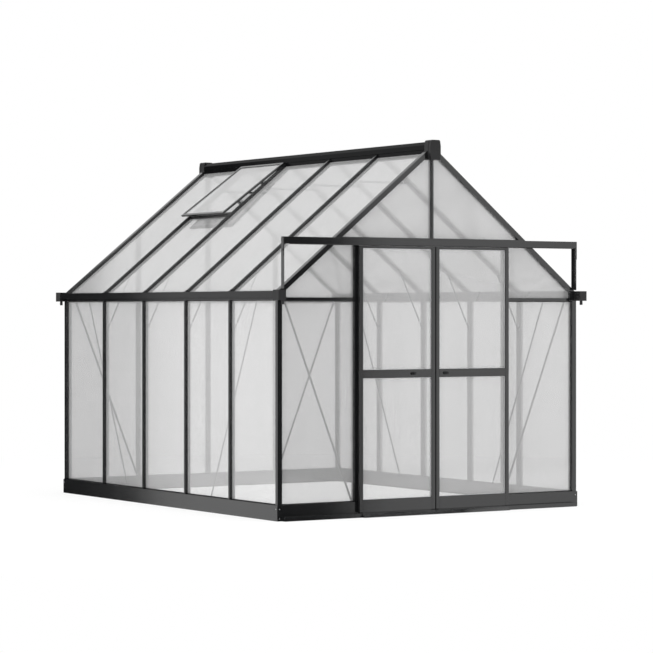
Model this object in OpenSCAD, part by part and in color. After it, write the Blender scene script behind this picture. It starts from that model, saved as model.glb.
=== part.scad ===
// Greenhouse of aluminium sections and twin-wall sheet, with sliding double doors in the front gable.
// Millimetres. Origin: centre of the base's footprint on the ground. Front is -Y, up is +Z.

/* [Building] */
// Width of the base, across the gable
base_w = 2440; // [2000:10:3000]
// Length of the base, along the ridge
base_l = 3060; // [2400:10:3800]
// Height of the eave beam's underside
eave_z = 1425; // [1180:5:1800]
// Pitch of the roof in degrees
pitch = 38.85; // [30:0.05:48]
// Number of bays along each side wall
side_bays = 5; // [4:1:6]
// Distance from one side post to the next
bay_l = 601.4; // [500:0.1:620]

/* [Base] */
// Height of the base channel
base_h = 103; // [60:1:140]
// Wall of the base channel
base_wall = 2.5; // [1.5:0.5:5]
// Width of the base channel's flanges
base_flange = 50; // [45:1:60]
// Distance from the base's face back to the frame's face
frame_inset = 6; // [2:1:12]

/* [Frame sections] */
// Depth of a bar's outer rib, from its face to the sheet
rib_d = 20; // [12:1:26]
// Width of a middle bar's outer rib
rib_w = 16; // [10:1:24]
// Thickness of the web between the two panel grooves
web_t = 6; // [4:1:8]
// Depth of the inner flange
flange_d = 14; // [8:1:20]
// Width of a middle bar's inner flange
flange_w = 36; // [28:1:48]
// Width of the wide bars: corner posts, door posts and gable rafters
wide_w = 34; // [28:1:44]
// Depth of a corner post along the side wall
corner_d = 28; // [22:1:34]
// Width of the eave beam
eave_beam_w = 55; // [52:1:70]
// Height of the rails across the gable's corner bays
gable_rail_h = 21; // [14:1:30]
// Height of the gable rails' underside below the eave beam's underside
gable_rail_drop = 5; // [3:1:12]

/* [Sheet] */
// Thickness of the twin-wall sheet
sheet_t = 4; // [3:0.5:6]
// How far a door sheet reaches into its grooves
sheet_in = 5; // [3:1:6]

/* [Ridge] */
// Half width of the ridge beam where the rafters meet it
ridge_half = 33; // [26:1:36]
// Reach of the ridge's cover past that side
ridge_lip = 7; // [4:1:9]
// Height of the cover's upright edge
ridge_edge_h = 31; // [20:1:36]
// Height of the cover's sloped top
ridge_top_h = 22; // [12:1:26]
// Half width of the cover's flat top
ridge_top_half = 26; // [16:1:30]
// Depth of the beam under the cover
ridge_drop = 47; // [40:1:60]
// Reach of a ridge end cap past the gable's face
cap_over = 36; // [24:1:50]
// Half width of a cap at its ends
cap_half = 37; // [34:1:40]
// Half width of a cap at its middle
cap_belly = 42; // [41:1:46]

/* [Gutter] */
// Reach of the gutter past the base's side
gutter_out = 30; // [20:1:45]
// Height of the gutter's outer wall
gutter_h = 40; // [28:1:52]
// Height of the gutter's floor above the eave beam's underside
gutter_lift = 18; // [12:1:24]
// Wall of the gutter
gutter_wall = 2.5; // [1.5:0.5:4]
// Reach of a gutter end past the base's front and back
gutter_over = 65; // [50:1:80]
// Reach of a gutter end inside the base's side
gutter_end_in = 27; // [20:1:34]
// Outer radius of the outlet spout
spout_r = 10; // [8:1:13]
// Bore radius of the outlet spout
spout_bore = 8; // [6:1:11]
// Length of the spout below the gutter end
spout_l = 28; // [18:1:40]

/* [Doors] */
// Width of one door leaf
door_w = 602; // [480:1:620]
// Thickness of a door leaf
door_t = 24; // [20:1:27]
// Half of the gap between the closed leaves
door_gap = 4; // [3:1:8]
// Height of a leaf's top above the ground
door_top = 1782; // [1480:1:1850]
// Height of a leaf's foot above the ground
door_foot = 33; // [32:1:45]
// Width of the stiles
stile_w = 27; // [22:1:40]
// Height of the top rail
top_rail_h = 17; // [16:1:40]
// Height of the bottom rail
kick_rail_h = 82; // [50:1:120]
// Height of the middle rail
mid_rail_h = 55; // [40:1:80]
// Height of the middle rail's underside above the ground
mid_rail_z = 911; // [700:1:1000]
// Radius of a hanger wheel
wheel_r = 14; // [10:1:16]
// Thickness of a hanger wheel
wheel_t = 8; // [5:1:9]
// Distance from a leaf's edge to its hanger
hanger_in = 90; // [60:1:150]
// Distance from the middle to the left leaf's latch
left_latch_x = 181; // [60:1:400]
// Distance from the middle to the right leaf's latch
right_latch_x = 82; // [60:1:400]

/* [Door track] */
// Half length of the head track
track_half = 1185; // [1150:1:1450]
// Depth of the head track
track_d = 30; // [28:1:40]
// Height of the head track
track_h = 45; // [42:1:60]
// Wall of the head track
track_wall = 2.5; // [2:0.5:3]
// Width of the slot under the head track
track_slot = 13; // [9:1:14]
// Gap between a leaf's top and the head track
track_gap = 5; // [3:1:8]
// Height of the transom behind the track
transom_h = 49; // [40:1:60]
// Drop of the track's end bracket below the track
bracket_drop = 78; // [50:1:100]
// Height of the bottom track
bottom_track_h = 28; // [24:1:28]
// Depth of the bottom track
bottom_track_d = 38; // [36:1:50]
// Width of the bottom track's groove
groove_w = 16; // [14:1:18]
// Half width of the threshold ramp
ramp_half = 590; // [400:5:700]

/* [Braces] */
// Width of a flat brace
brace_w = 15; // [10:1:25]
// Thickness of a flat brace
brace_t = 3; // [2:0.5:4]
// Distance from the building's end to a side brace's top
brace_top = 330; // [250:5:420]
// Distance from the building's end to a side brace's foot
brace_foot = 930; // [700:5:1000]
// Drop of a knee brace's foot below the eave beam
knee_drop = 190; // [120:5:240]
// Reach of a knee brace in from the post
knee_reach = 180; // [120:5:240]
// Height of a collar tie below the rafters' outer line at the ridge
tie_drop = 210; // [160:5:300]

/* [Roof vent] */
// Bay of the vent, counted from the front
vent_bay = 4; // [2:1:4]
// Length of the vent leaf down the slope
vent_l = 640; // [500:5:700]
// Thickness of the vent leaf's frame
vent_t = 14; // [10:1:20]
// Width of the vent leaf's bars
vent_bar = 22; // [16:1:30]
// Angle that the vent leaf stands open, in degrees
vent_open = 2.7; // [1:0.1:8]

/* [Hidden] */
$fn = 48;

seat = 0.3;                 // clearance between pieces that rest on each other
groove = sheet_t + 2 * seat;
bar_d = rib_d + groove + flange_d;
gable_d = bar_d;            // depth of the gable rafters and the front bars
half_w = base_w / 2;
half_l = base_l / 2;
face_x = half_w - frame_inset;
face_y = half_l - frame_inset;
floor_z = base_h + seat;    // foot of every post and wall sheet
eave_out_x = face_x + 1;
eave_in_x = eave_out_x - eave_beam_w;
eave_top = eave_z + 50;     // roof's outer line above the base's side
wide_in_x = face_x - wide_w;
corner_in_y = face_y - corner_d;
gable_in_y = face_y - gable_d;
panel_x = face_x - rib_d - seat;    // outer face of the side wall sheet
panel_y = face_y - rib_d - seat;    // outer face of the gable sheet
post_ys = [for (i = [1:side_bays - 1]) (i - side_bays / 2) * bay_l];

// Doorway and transom
door_post_x = door_gap + door_w + 1;
door_post_in = door_post_x - wide_w / 2;
door_post_out = door_post_x + wide_w / 2;
door_groove = 10;
track_z = door_top + track_gap;
transom_z = track_z + 2;
transom_face_y = half_l - seat;
transom_top = transom_z + transom_h;
rail_z = eave_z - gable_rail_drop;
rail_top = rail_z + gable_rail_h;
track_front_y = half_l + track_d;
door_back_y = track_front_y - door_t;
door_mid_y = (track_front_y + door_back_y) / 2;

// Roof plane: the rafters' outer line, as a height at a distance x from the middle
function roof_z(x) = eave_top + (half_w - x) * tan(pitch);
// The line that lies a depth d under the rafters' outer line
function under(x, d) = roof_z(x) - d / cos(pitch);

ridge_side_z = roof_z(ridge_half + seat) + seat;
ridge_foot_z = ridge_side_z - ridge_drop;
ridge_edge_z = ridge_side_z + ridge_edge_h;
ridge_top = ridge_edge_z + ridge_top_h;
cap_below = 22;
cap_above = 11;
cap_z = ridge_foot_z - cap_below;
cap_top = ridge_top + cap_above;
cap_in_y = gable_in_y;
gable_top_x = cap_belly + seat;
gable_post_w = 15;
vent_y = (vent_bay - (side_bays + 1) / 2) * bay_l;
sill_w = 18;
sill_x = (vent_l - 24) * cos(pitch);
hinge_x = ridge_half + ridge_lip + 2;
vent_half = bay_l / 2 + 4;
hanger_t = 3;
hanger_in_rail = 8;
strut_t = 3;
strut_x = track_half + seat;

// A box from its low corner to its high corner
module block(low, high) {
    translate(low) cube(high - low);
}

// A copy of the children on the other side of the building's long middle plane
module both_sides() {
    children();
    mirror([1, 0, 0]) children();
}

// A copy of the children on the other gable
module both_ends() {
    children();
    mirror([0, 1, 0]) children();
}

// An outline in X and Z, drawn along Y from y0 to y1
module along_y(y0, y1) {
    translate([0, y1, 0]) rotate([90, 0, 0]) linear_extrude(y1 - y0) children();
}

// A layer of the right slope between two distances from the middle and two depths under the outer line
module slope_layer(x0, x1, d0, d1, y0, y1) {
    along_y(y0, y1)
        polygon([[x0, under(x0, d1)], [x1, under(x1, d1)], [x1, under(x1, d0)], [x0, under(x0, d0)]]);
}

// The space under the roof, a depth d below the rafters' outer line
module under_roof(d) {
    reach = half_w + 100;
    along_y(-half_l - 100, half_l + 100)
        polygon([[-reach, 0], [reach, 0], [reach, under(reach, d)], [0, under(0, d)],
                 [-reach, under(reach, d)]]);
}

// A standing bar with a rib, a web and an inner flange, its face at y = 0 and its depth along +Y
module h_bar(low, high) {
    translate([-rib_w / 2, 0, low]) cube([rib_w, rib_d, high - low]);
    translate([-web_t / 2, 0, low]) cube([web_t, bar_d, high - low]);
    translate([-flange_w / 2, rib_d + groove, low]) cube([flange_w, flange_d, high - low]);
}

// One length of base channel along X, with its outer face at y = 0 and its corners cut at 45 degrees
module base_channel(length) {
    flange_z = base_h - base_wall;
    low_flange = base_flange - 8;       // the foot's flange is the narrower one
    intersection() {
        union() {
            translate([-length / 2, 0, 0]) cube([length, base_wall, base_h]);
            translate([-length / 2, 0, flange_z]) cube([length, base_flange, base_wall]);
            translate([-length / 2, 0, 0]) cube([length, low_flange, base_wall]);
        }
        linear_extrude(base_h)
            polygon([[-length / 2 + seat, 0], [length / 2 - seat, 0],
                     [length / 2 - seat - base_flange, base_flange],
                     [-length / 2 + seat + base_flange, base_flange]]);
    }
}

module base_front() {
    color([0.17, 0.18, 0.19]) translate([0, -half_l, 0]) base_channel(base_w);
}

module base_back() {
    color([0.17, 0.18, 0.19]) rotate([0, 0, 180]) translate([0, -half_l, 0]) base_channel(base_w);
}

module base_left() {
    color([0.17, 0.18, 0.19]) rotate([0, 0, -90]) translate([0, -half_w, 0]) base_channel(base_l);
}

module base_right() {
    color([0.17, 0.18, 0.19]) rotate([0, 0, 90]) translate([0, -half_w, 0]) base_channel(base_l);
}

module bottom_track() {
    track_floor = 4;
    color([0.2, 0.21, 0.22]) difference() {
        block([-track_half, -half_l - seat - bottom_track_d, 0], [track_half, -half_l - seat, bottom_track_h]);
        block([-track_half - 1, -door_mid_y - groove_w / 2, track_floor],
              [track_half + 1, -door_mid_y + groove_w / 2, bottom_track_h + 1]);
    }
}

module threshold_ramp() {
    ramp_y = half_l + bottom_track_d + 2 * seat;
    ramp_reach = half_l + gutter_over;
    nose = 3;
    color([0.22, 0.23, 0.24]) rotate([0, 0, 90]) rotate([90, 0, 0]) translate([0, 0, -ramp_half])
        linear_extrude(2 * ramp_half)
            polygon([[-ramp_reach, 0], [-ramp_y, 0], [-ramp_y, bottom_track_h - 2], [-ramp_reach, nose]]);
}

// A hollow corner post with an inner lip behind each wall's sheet
module corner_post() {
    wall = 2.5;
    lip_t = 3;
    lip_w = 12;
    top = eave_z - seat;
    lip_x = panel_x - sheet_t - seat;
    lip_y = panel_y - sheet_t - seat;
    difference() {
        union() {
            block([-face_x, -face_y, floor_z], [-wide_in_x, -corner_in_y, top]);
            block([-lip_x, -corner_in_y - 1, floor_z], [-lip_x + lip_t, -corner_in_y + lip_w, top]);
            block([-wide_in_x - 1, -lip_y, floor_z], [-wide_in_x + lip_w, -lip_y + lip_t, top]);
        }
        block([-face_x + wall, -face_y + wall, floor_z - 1],
              [-wide_in_x - wall, -corner_in_y - wall, top + 1]);
    }
}

module corner_posts() {
    color([0.19, 0.2, 0.21]) both_sides() both_ends() corner_post();
}

module side_posts() {
    for (y = post_ys)
        translate([-face_x, y, 0]) rotate([0, 0, -90]) h_bar(floor_z, eave_z - seat);
}

module left_posts() {
    color([0.19, 0.2, 0.21]) side_posts();
}

module right_posts() {
    color([0.19, 0.2, 0.21]) mirror([1, 0, 0]) side_posts();
}

// A door post, grooved on the side of the corner bay only
module door_post() {
    difference() {
        block([-door_post_out, -face_y, floor_z], [-door_post_in, -gable_in_y, transom_z - seat]);
        block([-door_post_out - 1, -panel_y - seat, floor_z - 1],
              [-door_post_out + door_groove, -panel_y + sheet_t + seat, transom_z + 1]);
    }
}

module door_posts() {
    color([0.19, 0.2, 0.21]) both_sides() door_post();
}

back_post_xs = [-door_post_x, 0, door_post_x];

module back_posts() {
    color([0.19, 0.2, 0.21]) intersection() {
        for (x = back_post_xs)
            translate([x, face_y, 0]) mirror([0, 1, 0])
                h_bar(floor_z, x == 0 ? cap_z - seat : ridge_top);
        under_roof(wide_w + seat);
    }
}

// Eave beam: a low wedge under the bars, and between them a raised seat for the roof's sheet
module eave_beam() {
    sheet_seat = rib_d + groove;
    ends = concat([-gable_in_y - flange_w / 2], post_ys, [gable_in_y + flange_w / 2]);
    module wedge(d, y0, y1) {
        along_y(y0, y1)
            polygon([[eave_in_x, eave_z], [eave_out_x, eave_z], [eave_out_x, under(eave_out_x, d)],
                     [eave_in_x, under(eave_in_x, d)]]);
    }
    wedge(bar_d + seat, -face_y, face_y);
    for (i = [0:side_bays - 1])
        wedge(sheet_seat, ends[i] + flange_w / 2 + seat, ends[i + 1] - flange_w / 2 - seat);
    for (y = [-face_y, gable_in_y])
        wedge(wide_w + seat, y, y + gable_d);
}

module left_eave_beam() {
    color([0.19, 0.2, 0.21]) mirror([1, 0, 0]) eave_beam();
}

module right_eave_beam() {
    color([0.19, 0.2, 0.21]) eave_beam();
}

gutter_x = half_w + gutter_out;
gutter_z = eave_z + gutter_lift;
gutter_back_x = eave_out_x + seat;

module gutter() {
    leg = 16;
    along_y(-face_y, face_y) {
        translate([gutter_x - gutter_wall, gutter_z]) square([gutter_wall, gutter_h]);
        translate([gutter_back_x, gutter_z]) square([gutter_x - gutter_back_x, gutter_wall]);
        translate([gutter_back_x, gutter_z - leg]) square([gutter_wall, leg + gutter_wall]);
    }
}

module left_gutter() {
    color([0.19, 0.2, 0.21]) mirror([1, 0, 0]) gutter();
}

module right_gutter() {
    color([0.19, 0.2, 0.21]) gutter();
}

// A hollow gutter end with its outlet spout
module gutter_end() {
    rim = 7;            // height of the end's rim above the gutter
    below = 2;          // drop of its underside below the eave beam
    spout_in = 39;      // distance from the gutter's outer face in to the spout's middle
    spout_back = 12;    // distance from the end's face back to the spout's middle
    wall = 3;
    end_y = half_l + gutter_over;
    low = eave_z - below;
    high = gutter_z + gutter_h + rim;
    spout_x = gutter_x - spout_in;
    spout_y = end_y - spout_back;
    difference() {
        union() {
            block([half_w - gutter_end_in, -end_y, low], [gutter_x, -face_y - seat, high]);
            translate([spout_x, -spout_y, low - spout_l]) cylinder(r = spout_r, h = spout_l + 1);
        }
        block([half_w - gutter_end_in + wall, -end_y + wall, gutter_z + wall],
              [gutter_x - wall, -face_y, high + 1]);
        translate([spout_x, -spout_y, low - spout_l - 1]) cylinder(r = spout_bore, h = spout_l + high - low);
    }
}

module gutter_ends() {
    color([0.1, 0.1, 0.11]) both_sides() both_ends() gutter_end();
}

module ridge_beam() {
    lip = ridge_half + ridge_lip;
    color([0.19, 0.2, 0.21]) along_y(-cap_in_y + seat, cap_in_y - seat)
        polygon([[-ridge_half, ridge_foot_z], [ridge_half, ridge_foot_z], [ridge_half, ridge_side_z],
                 [lip, ridge_side_z], [lip, ridge_edge_z], [ridge_top_half, ridge_top],
                 [-ridge_top_half, ridge_top], [-lip, ridge_edge_z], [-lip, ridge_side_z],
                 [-ridge_half, ridge_side_z]]);
}

// A moulded cap over the ridge's end, with a groove around it
module ridge_cap() {
    groove_y = face_y + 14;     // inner edge of the groove, toward the gable
    groove_l = 7;
    groove_deep = 3;
    side_half = 25;             // half height of the upright sides
    corner = 6;                 // height of the chamfered top corners
    corner_in = 8;
    module outline(shrink) {
        half = cap_half - shrink;
        belly = cap_belly - shrink;
        low = cap_z + shrink;
        high = cap_top - shrink;
        middle = (low + high) / 2;
        polygon([[-half, low], [half, low], [belly, middle - side_half], [belly, middle + side_half],
                 [half, high - corner], [half - corner_in, high], [corner_in - half, high],
                 [-half, high - corner], [-belly, middle + side_half], [-belly, middle - side_half]]);
    }
    along_y(-face_y - cap_over, -groove_y) outline(0);
    along_y(-groove_y - 1, -groove_y + groove_l + 1) outline(groove_deep);
    along_y(-groove_y + groove_l, -cap_in_y) outline(0);
}

module ridge_caps() {
    color([0.11, 0.11, 0.12]) both_ends() ridge_cap();
}

module gable_rafters() {
    color([0.19, 0.2, 0.21]) both_sides() both_ends()
        slope_layer(gable_top_x, eave_out_x, 0, wide_w, -face_y, -gable_in_y);
}

// The four middle rafters of the right slope
module rafters() {
    top_x = ridge_half + seat;
    for (y = post_ys) {
        slope_layer(top_x, eave_out_x, 0, rib_d, y - rib_w / 2, y + rib_w / 2);
        slope_layer(top_x, eave_out_x, 0, bar_d, y - web_t / 2, y + web_t / 2);
        slope_layer(top_x, eave_out_x, rib_d + groove, bar_d, y - flange_w / 2, y + flange_w / 2);
    }
}

module left_rafters() {
    color([0.19, 0.2, 0.21]) mirror([1, 0, 0]) rafters();
}

module right_rafters() {
    color([0.19, 0.2, 0.21]) rafters();
}

// Rails across the gable's corner bays; at the back they run between all the posts
module gable_rails() {
    rail_in = 6;        // distance from the frame's face back to the rail
    rail_y = face_y - rail_in;
    color([0.19, 0.2, 0.21]) both_sides() {
        block([door_post_out + seat, -rail_y, rail_z], [eave_in_x - seat, -gable_in_y, rail_top]);
        block([door_post_x + flange_w / 2 + seat, gable_in_y, rail_z], [eave_in_x - seat, rail_y, rail_top]);
        block([flange_w / 2 + seat, gable_in_y, rail_z],
              [door_post_x - flange_w / 2 - seat, rail_y, rail_top]);
    }
}

module transom() {
    color([0.19, 0.2, 0.21]) intersection() {
        block([-half_w, -transom_face_y, transom_z], [half_w, -gable_in_y, transom_top]);
        under_roof(wide_w + seat);
    }
}

module gable_post() {
    color([0.19, 0.2, 0.21])
        block([-gable_post_w / 2, -face_y, transom_top + seat],
              [gable_post_w / 2, -gable_in_y, cap_z - seat]);
}

module door_track() {
    color([0.19, 0.2, 0.21]) difference() {
        block([-track_half, -track_front_y, track_z], [track_half, -half_l, track_z + track_h]);
        block([-track_half - 1, -track_front_y + track_wall, track_z + track_wall],
              [track_half + 1, -half_l - track_wall, track_z + track_h - track_wall]);
        block([-track_half - 1, -door_mid_y - track_slot / 2, track_z - 1],
              [track_half + 1, -door_mid_y + track_slot / 2, track_z + track_h / 2]);
    }
}

// Angle struts that carry the track's ends from the feet of the gable rafters
module track_struts() {
    strut_w = 18;
    foot_z = roof_z(track_half) - 6;
    color([0.19, 0.2, 0.21]) both_sides() {
        block([strut_x, -track_front_y, foot_z], [strut_x + strut_t, -face_y - seat, track_z + track_h]);
        block([strut_x + strut_t - strut_w, -face_y - seat - strut_t, foot_z],
              [strut_x + strut_t, -face_y - seat, track_z - seat]);
    }
}

// End brackets with a stop bolt for the leaf
module track_brackets() {
    bracket_x = strut_x + strut_t + seat;
    bolt_z = track_z - bracket_drop / 2;
    bolt_r = 6;
    bolt_l = 5;
    color([0.15, 0.15, 0.16]) both_sides() {
        block([bracket_x, -track_front_y, track_z - bracket_drop],
              [bracket_x + strut_t, -half_l, track_z + track_h]);
        translate([bracket_x + strut_t - 1, -door_mid_y, bolt_z]) rotate([0, 90, 0])
            cylinder(r = bolt_r, h = bolt_l + 1);
    }
}

// Sheets of one side wall
module wall_sheets() {
    edge = web_t / 2 + seat;
    stops = concat([-corner_in_y + seat - edge], post_ys, [corner_in_y - seat + edge]);
    for (i = [0:side_bays - 1])
        block([-panel_x, stops[i] + edge, floor_z],
              [-panel_x + sheet_t, stops[i + 1] - edge, eave_z - seat]);
}

module left_wall_panels() {
    color([0.78, 0.82, 0.84]) wall_sheets();
}

module right_wall_panels() {
    color([0.78, 0.82, 0.84]) mirror([1, 0, 0]) wall_sheets();
}

module front_wall_panels() {
    color([0.78, 0.82, 0.84]) both_sides()
        block([-wide_in_x + seat, -panel_y, floor_z],
              [-door_post_out + door_groove - seat, -panel_y + sheet_t, rail_z - seat]);
}

module back_wall_panels() {
    edge = web_t / 2 + seat;
    color([0.78, 0.82, 0.84]) both_sides() {
        block([door_post_x + edge, panel_y - sheet_t, floor_z], [wide_in_x - seat, panel_y, rail_z - seat]);
        block([edge, panel_y - sheet_t, floor_z], [door_post_x - edge, panel_y, rail_z - seat]);
    }
}

module front_gable_panels() {
    low = rail_top + seat;
    sheet_y = [-panel_y, -panel_y + sheet_t];
    post_half = gable_post_w / 2 + seat;
    color([0.78, 0.82, 0.84]) both_sides() intersection() {
        under_roof(wide_w + seat);
        union() {
            block([door_post_out - door_groove + seat, sheet_y[0], low],
                  [eave_in_x - seat, sheet_y[1], transom_z - seat]);
            block([post_half, sheet_y[0], transom_top + seat], [half_w, sheet_y[1], cap_z - seat]);
        }
    }
}

module back_gable_panels() {
    low = rail_top + seat;
    edge = web_t / 2 + seat;
    color([0.78, 0.82, 0.84]) both_sides() intersection() {
        under_roof(wide_w + seat);
        union() {
            block([door_post_x + edge, panel_y - sheet_t, low], [eave_in_x - seat, panel_y, cap_z]);
            block([edge, panel_y - sheet_t, low], [door_post_x - edge, panel_y, cap_z - seat]);
        }
    }
}

// Sheets of one slope; the bay in short_bay starts below the vent's sill
module roof_sheets(short_bay) {
    edge = web_t / 2 + seat;
    foot_x = eave_out_x - 2;
    stops = concat([-gable_in_y + seat - edge], post_ys, [gable_in_y - seat + edge]);
    for (i = [0:side_bays - 1])
        slope_layer(i == short_bay ? sill_x + sill_w + seat : ridge_half + seat, foot_x,
                    rib_d + seat, rib_d + seat + sheet_t, stops[i] + edge, stops[i + 1] - edge);
}

module left_roof_panels() {
    color([0.78, 0.82, 0.84]) mirror([1, 0, 0]) roof_sheets(vent_bay - 1);
}

module right_roof_panels() {
    color([0.78, 0.82, 0.84]) roof_sheets(-1);
}

// A flat brace on an inner face, drawn in the plane of u along the wall and Z
module strip(foot_u, foot_z, top_u, top_z) {
    linear_extrude(brace_t)
        polygon([[foot_u - brace_w / 2, foot_z], [foot_u + brace_w / 2, foot_z],
                 [top_u + brace_w / 2, top_z], [top_u - brace_w / 2, top_z]]);
}

module side_braces() {
    brace_x = face_x - bar_d - seat;
    color([0.17, 0.17, 0.18]) both_sides() both_ends()
        translate([brace_x - brace_t, 0, 0]) rotate([0, 0, 90]) rotate([90, 0, 0])
            strip(half_l - brace_foot, floor_z, half_l - brace_top, eave_z - seat);
}

module gable_braces() {
    end_in = 14;        // distance of the strip's ends in from the door post and the eave beam
    foot_x = door_post_x + end_in;
    top_x = eave_in_x - end_in;
    color([0.17, 0.17, 0.18]) both_sides() both_ends()
        translate([0, gable_in_y - seat, 0]) rotate([90, 0, 0])
            strip(foot_x, floor_z, top_x, rail_top - 5);
}

module knee_braces() {
    knee_half = 8;      // half of the strip's width along the rafter
    foot_x = face_x - bar_d - seat;
    foot_z = eave_z - knee_drop;
    top_x = foot_x - knee_reach;
    color([0.17, 0.17, 0.18]) both_sides()
        for (y = post_ys)
            along_y(y - brace_t / 2, y + brace_t / 2)
                polygon([[foot_x, foot_z - 3 * knee_half], [foot_x, foot_z],
                         [top_x + knee_half, under(top_x + knee_half, bar_d + seat)],
                         [top_x - knee_half, under(top_x - knee_half, bar_d + seat)]]);
}

module collar_ties() {
    tie_z = roof_z(0) - tie_drop;
    color([0.17, 0.17, 0.18]) intersection() {
        for (y = post_ys)
            block([-half_w, y - brace_t / 2, tie_z - brace_w], [half_w, y + brace_t / 2, tie_z]);
        under_roof(bar_d + seat);
    }
}

// The vent leaf's own frame: +X down the slope, +Z away from it, hinged beside the ridge
module vent_place() {
    translate([-hinge_x, vent_y, roof_z(hinge_x) + 2 * seat]) mirror([1, 0, 0])
        rotate([0, pitch - vent_open, 0]) children();
}

module vent_frame() {
    color([0.18, 0.19, 0.2]) vent_place() difference() {
        block([0, -vent_half, 0], [vent_l, vent_half, vent_t]);
        block([vent_bar, -vent_half + vent_bar, -1], [vent_l - vent_bar, vent_half - vent_bar, vent_t + 1]);
    }
}

module vent_panel() {
    low = (vent_t - sheet_t) / 2;
    inset = vent_bar + seat;
    color([0.78, 0.82, 0.84]) vent_place()
        block([inset, -vent_half + inset, low], [vent_l - inset, vent_half - inset, low + sheet_t]);
}

// Bar between the rafters under the vent leaf's lower edge
module vent_sill() {
    sill_half = (bay_l - flange_w) / 2 - seat;
    color([0.19, 0.2, 0.21]) mirror([1, 0, 0])
        slope_layer(sill_x, sill_x + sill_w, 4, rib_d + groove + 6, vent_y - sill_half, vent_y + sill_half);
}

module vent_stay() {
    stay_w = 8;
    stay_x = sill_x + 4;
    gap = (stay_x - hinge_x) / cos(pitch) * tan(vent_open);
    color([0.75, 0.76, 0.78]) mirror([1, 0, 0])
        slope_layer(stay_x, stay_x + stay_w, -gap + 1.5, 4 - seat, vent_y - 20, vent_y + 20);
}

// Pieces of the right leaf; the left leaf is its mirror
module stiles() {
    x0 = door_gap;
    x1 = door_gap + door_w;
    slot_y = [-door_mid_y - groove / 2, -door_mid_y + groove / 2];
    for (x = [[x0, x0 + stile_w], [x1 - stile_w, x1]])
        difference() {
            block([x[0], -track_front_y, door_foot], [x[1], -door_back_y, door_top]);
            block([x0 + stile_w - sheet_in - seat, slot_y[0], door_foot - 1],
                  [x1 - stile_w + sheet_in + seat, slot_y[1], door_top + 1]);
        }
}

module rails() {
    x0 = door_gap + stile_w + seat;
    x1 = door_gap + door_w - stile_w - seat;
    slot_y = [-door_mid_y - groove / 2, -door_mid_y + groove / 2];
    top_z = door_top - top_rail_h;
    kick_z = door_foot + kick_rail_h;
    module rail(low, high) {
        block([x0, -track_front_y, low], [x1, -door_back_y, high]);
    }
    difference() {
        union() {
            rail(door_foot, kick_z);
            rail(mid_rail_z, mid_rail_z + mid_rail_h);
            rail(top_z, door_top);
        }
        block([x0 - 1, slot_y[0], kick_z - sheet_in - seat], [x1 + 1, slot_y[1], mid_rail_z + sheet_in + seat]);
        block([x0 - 1, slot_y[0], mid_rail_z + mid_rail_h - sheet_in - seat],
              [x1 + 1, slot_y[1], top_z + sheet_in + seat]);
        block([x0 - 1, -door_mid_y - hanger_t / 2 - seat, door_top - hanger_in_rail],
              [x1 + 1, -door_mid_y + hanger_t / 2 + seat, door_top + 1]);
    }
    guide_fin(x0, x1);
}

// The fin under the bottom rail that runs in the bottom track
module guide_fin(x0, x1) {
    fin_t = 6;
    fin_drop = 23;
    block([x0, -door_mid_y - fin_t / 2, door_foot - fin_drop], [x1, -door_mid_y + fin_t / 2, door_foot + 1]);
}

module door_sheets() {
    x0 = door_gap + stile_w - sheet_in;
    x1 = door_gap + door_w - stile_w + sheet_in;
    sheet_y = [-door_mid_y - sheet_t / 2, -door_mid_y + sheet_t / 2];
    block([x0, sheet_y[0], door_foot + kick_rail_h - sheet_in],
          [x1, sheet_y[1], mid_rail_z + sheet_in]);
    block([x0, sheet_y[0], mid_rail_z + mid_rail_h - sheet_in],
          [x1, sheet_y[1], door_top - top_rail_h + sheet_in]);
}

// A hanger plate with a wheel on each side, running on the head track's lips
module hangers() {
    axle_z = track_z + track_wall + seat + wheel_r;
    plate_half = 15;
    spread = hanger_t / 2 + 0.5;
    for (x = [door_gap + hanger_in, door_gap + door_w - hanger_in]) {
        block([x - plate_half, -door_mid_y - hanger_t / 2, door_top - hanger_in_rail + seat],
              [x + plate_half, -door_mid_y + hanger_t / 2, axle_z + 4]);
        for (side = [-1, 1])
            translate([x, -door_mid_y + side * (spread + wheel_t / 2 - 1), axle_z]) rotate([90, 0, 0])
                cylinder(r = wheel_r, h = wheel_t, center = true);
    }
}

// An oval latch plate on the middle rail, with a round knob on it
module latch(x) {
    plate_half_l = 9.5;
    plate_r = 9.5;
    plate_t = 8;
    knob_r = 7;
    knob_t = 8;
    latch_z = mid_rail_z + mid_rail_h / 2;
    translate([x, -track_front_y - seat, latch_z]) rotate([90, 0, 0]) {
        linear_extrude(plate_t) {
            square([2 * plate_half_l, 2 * plate_r], center = true);
            for (side = [-1, 1])
                translate([side * plate_half_l, 0]) circle(r = plate_r);
        }
        linear_extrude(plate_t + knob_t) circle(r = knob_r);
    }
}

module door_left_stiles() {
    color([0.18, 0.19, 0.2]) mirror([1, 0, 0]) stiles();
}

module door_left_rails() {
    color([0.18, 0.19, 0.2]) mirror([1, 0, 0]) rails();
}

module door_left_panels() {
    color([0.78, 0.82, 0.84]) mirror([1, 0, 0]) door_sheets();
}

module door_left_hangers() {
    color([0.5, 0.5, 0.52]) mirror([1, 0, 0]) hangers();
}

module door_left_latch() {
    color([0.08, 0.08, 0.08]) latch(-left_latch_x);
}

module door_right_stiles() {
    color([0.18, 0.19, 0.2]) stiles();
}

module door_right_rails() {
    color([0.18, 0.19, 0.2]) rails();
}

module door_right_panels() {
    color([0.78, 0.82, 0.84]) door_sheets();
}

module door_right_hangers() {
    color([0.5, 0.5, 0.52]) hangers();
}

module door_right_latch() {
    color([0.08, 0.08, 0.08]) latch(right_latch_x);
}

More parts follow.
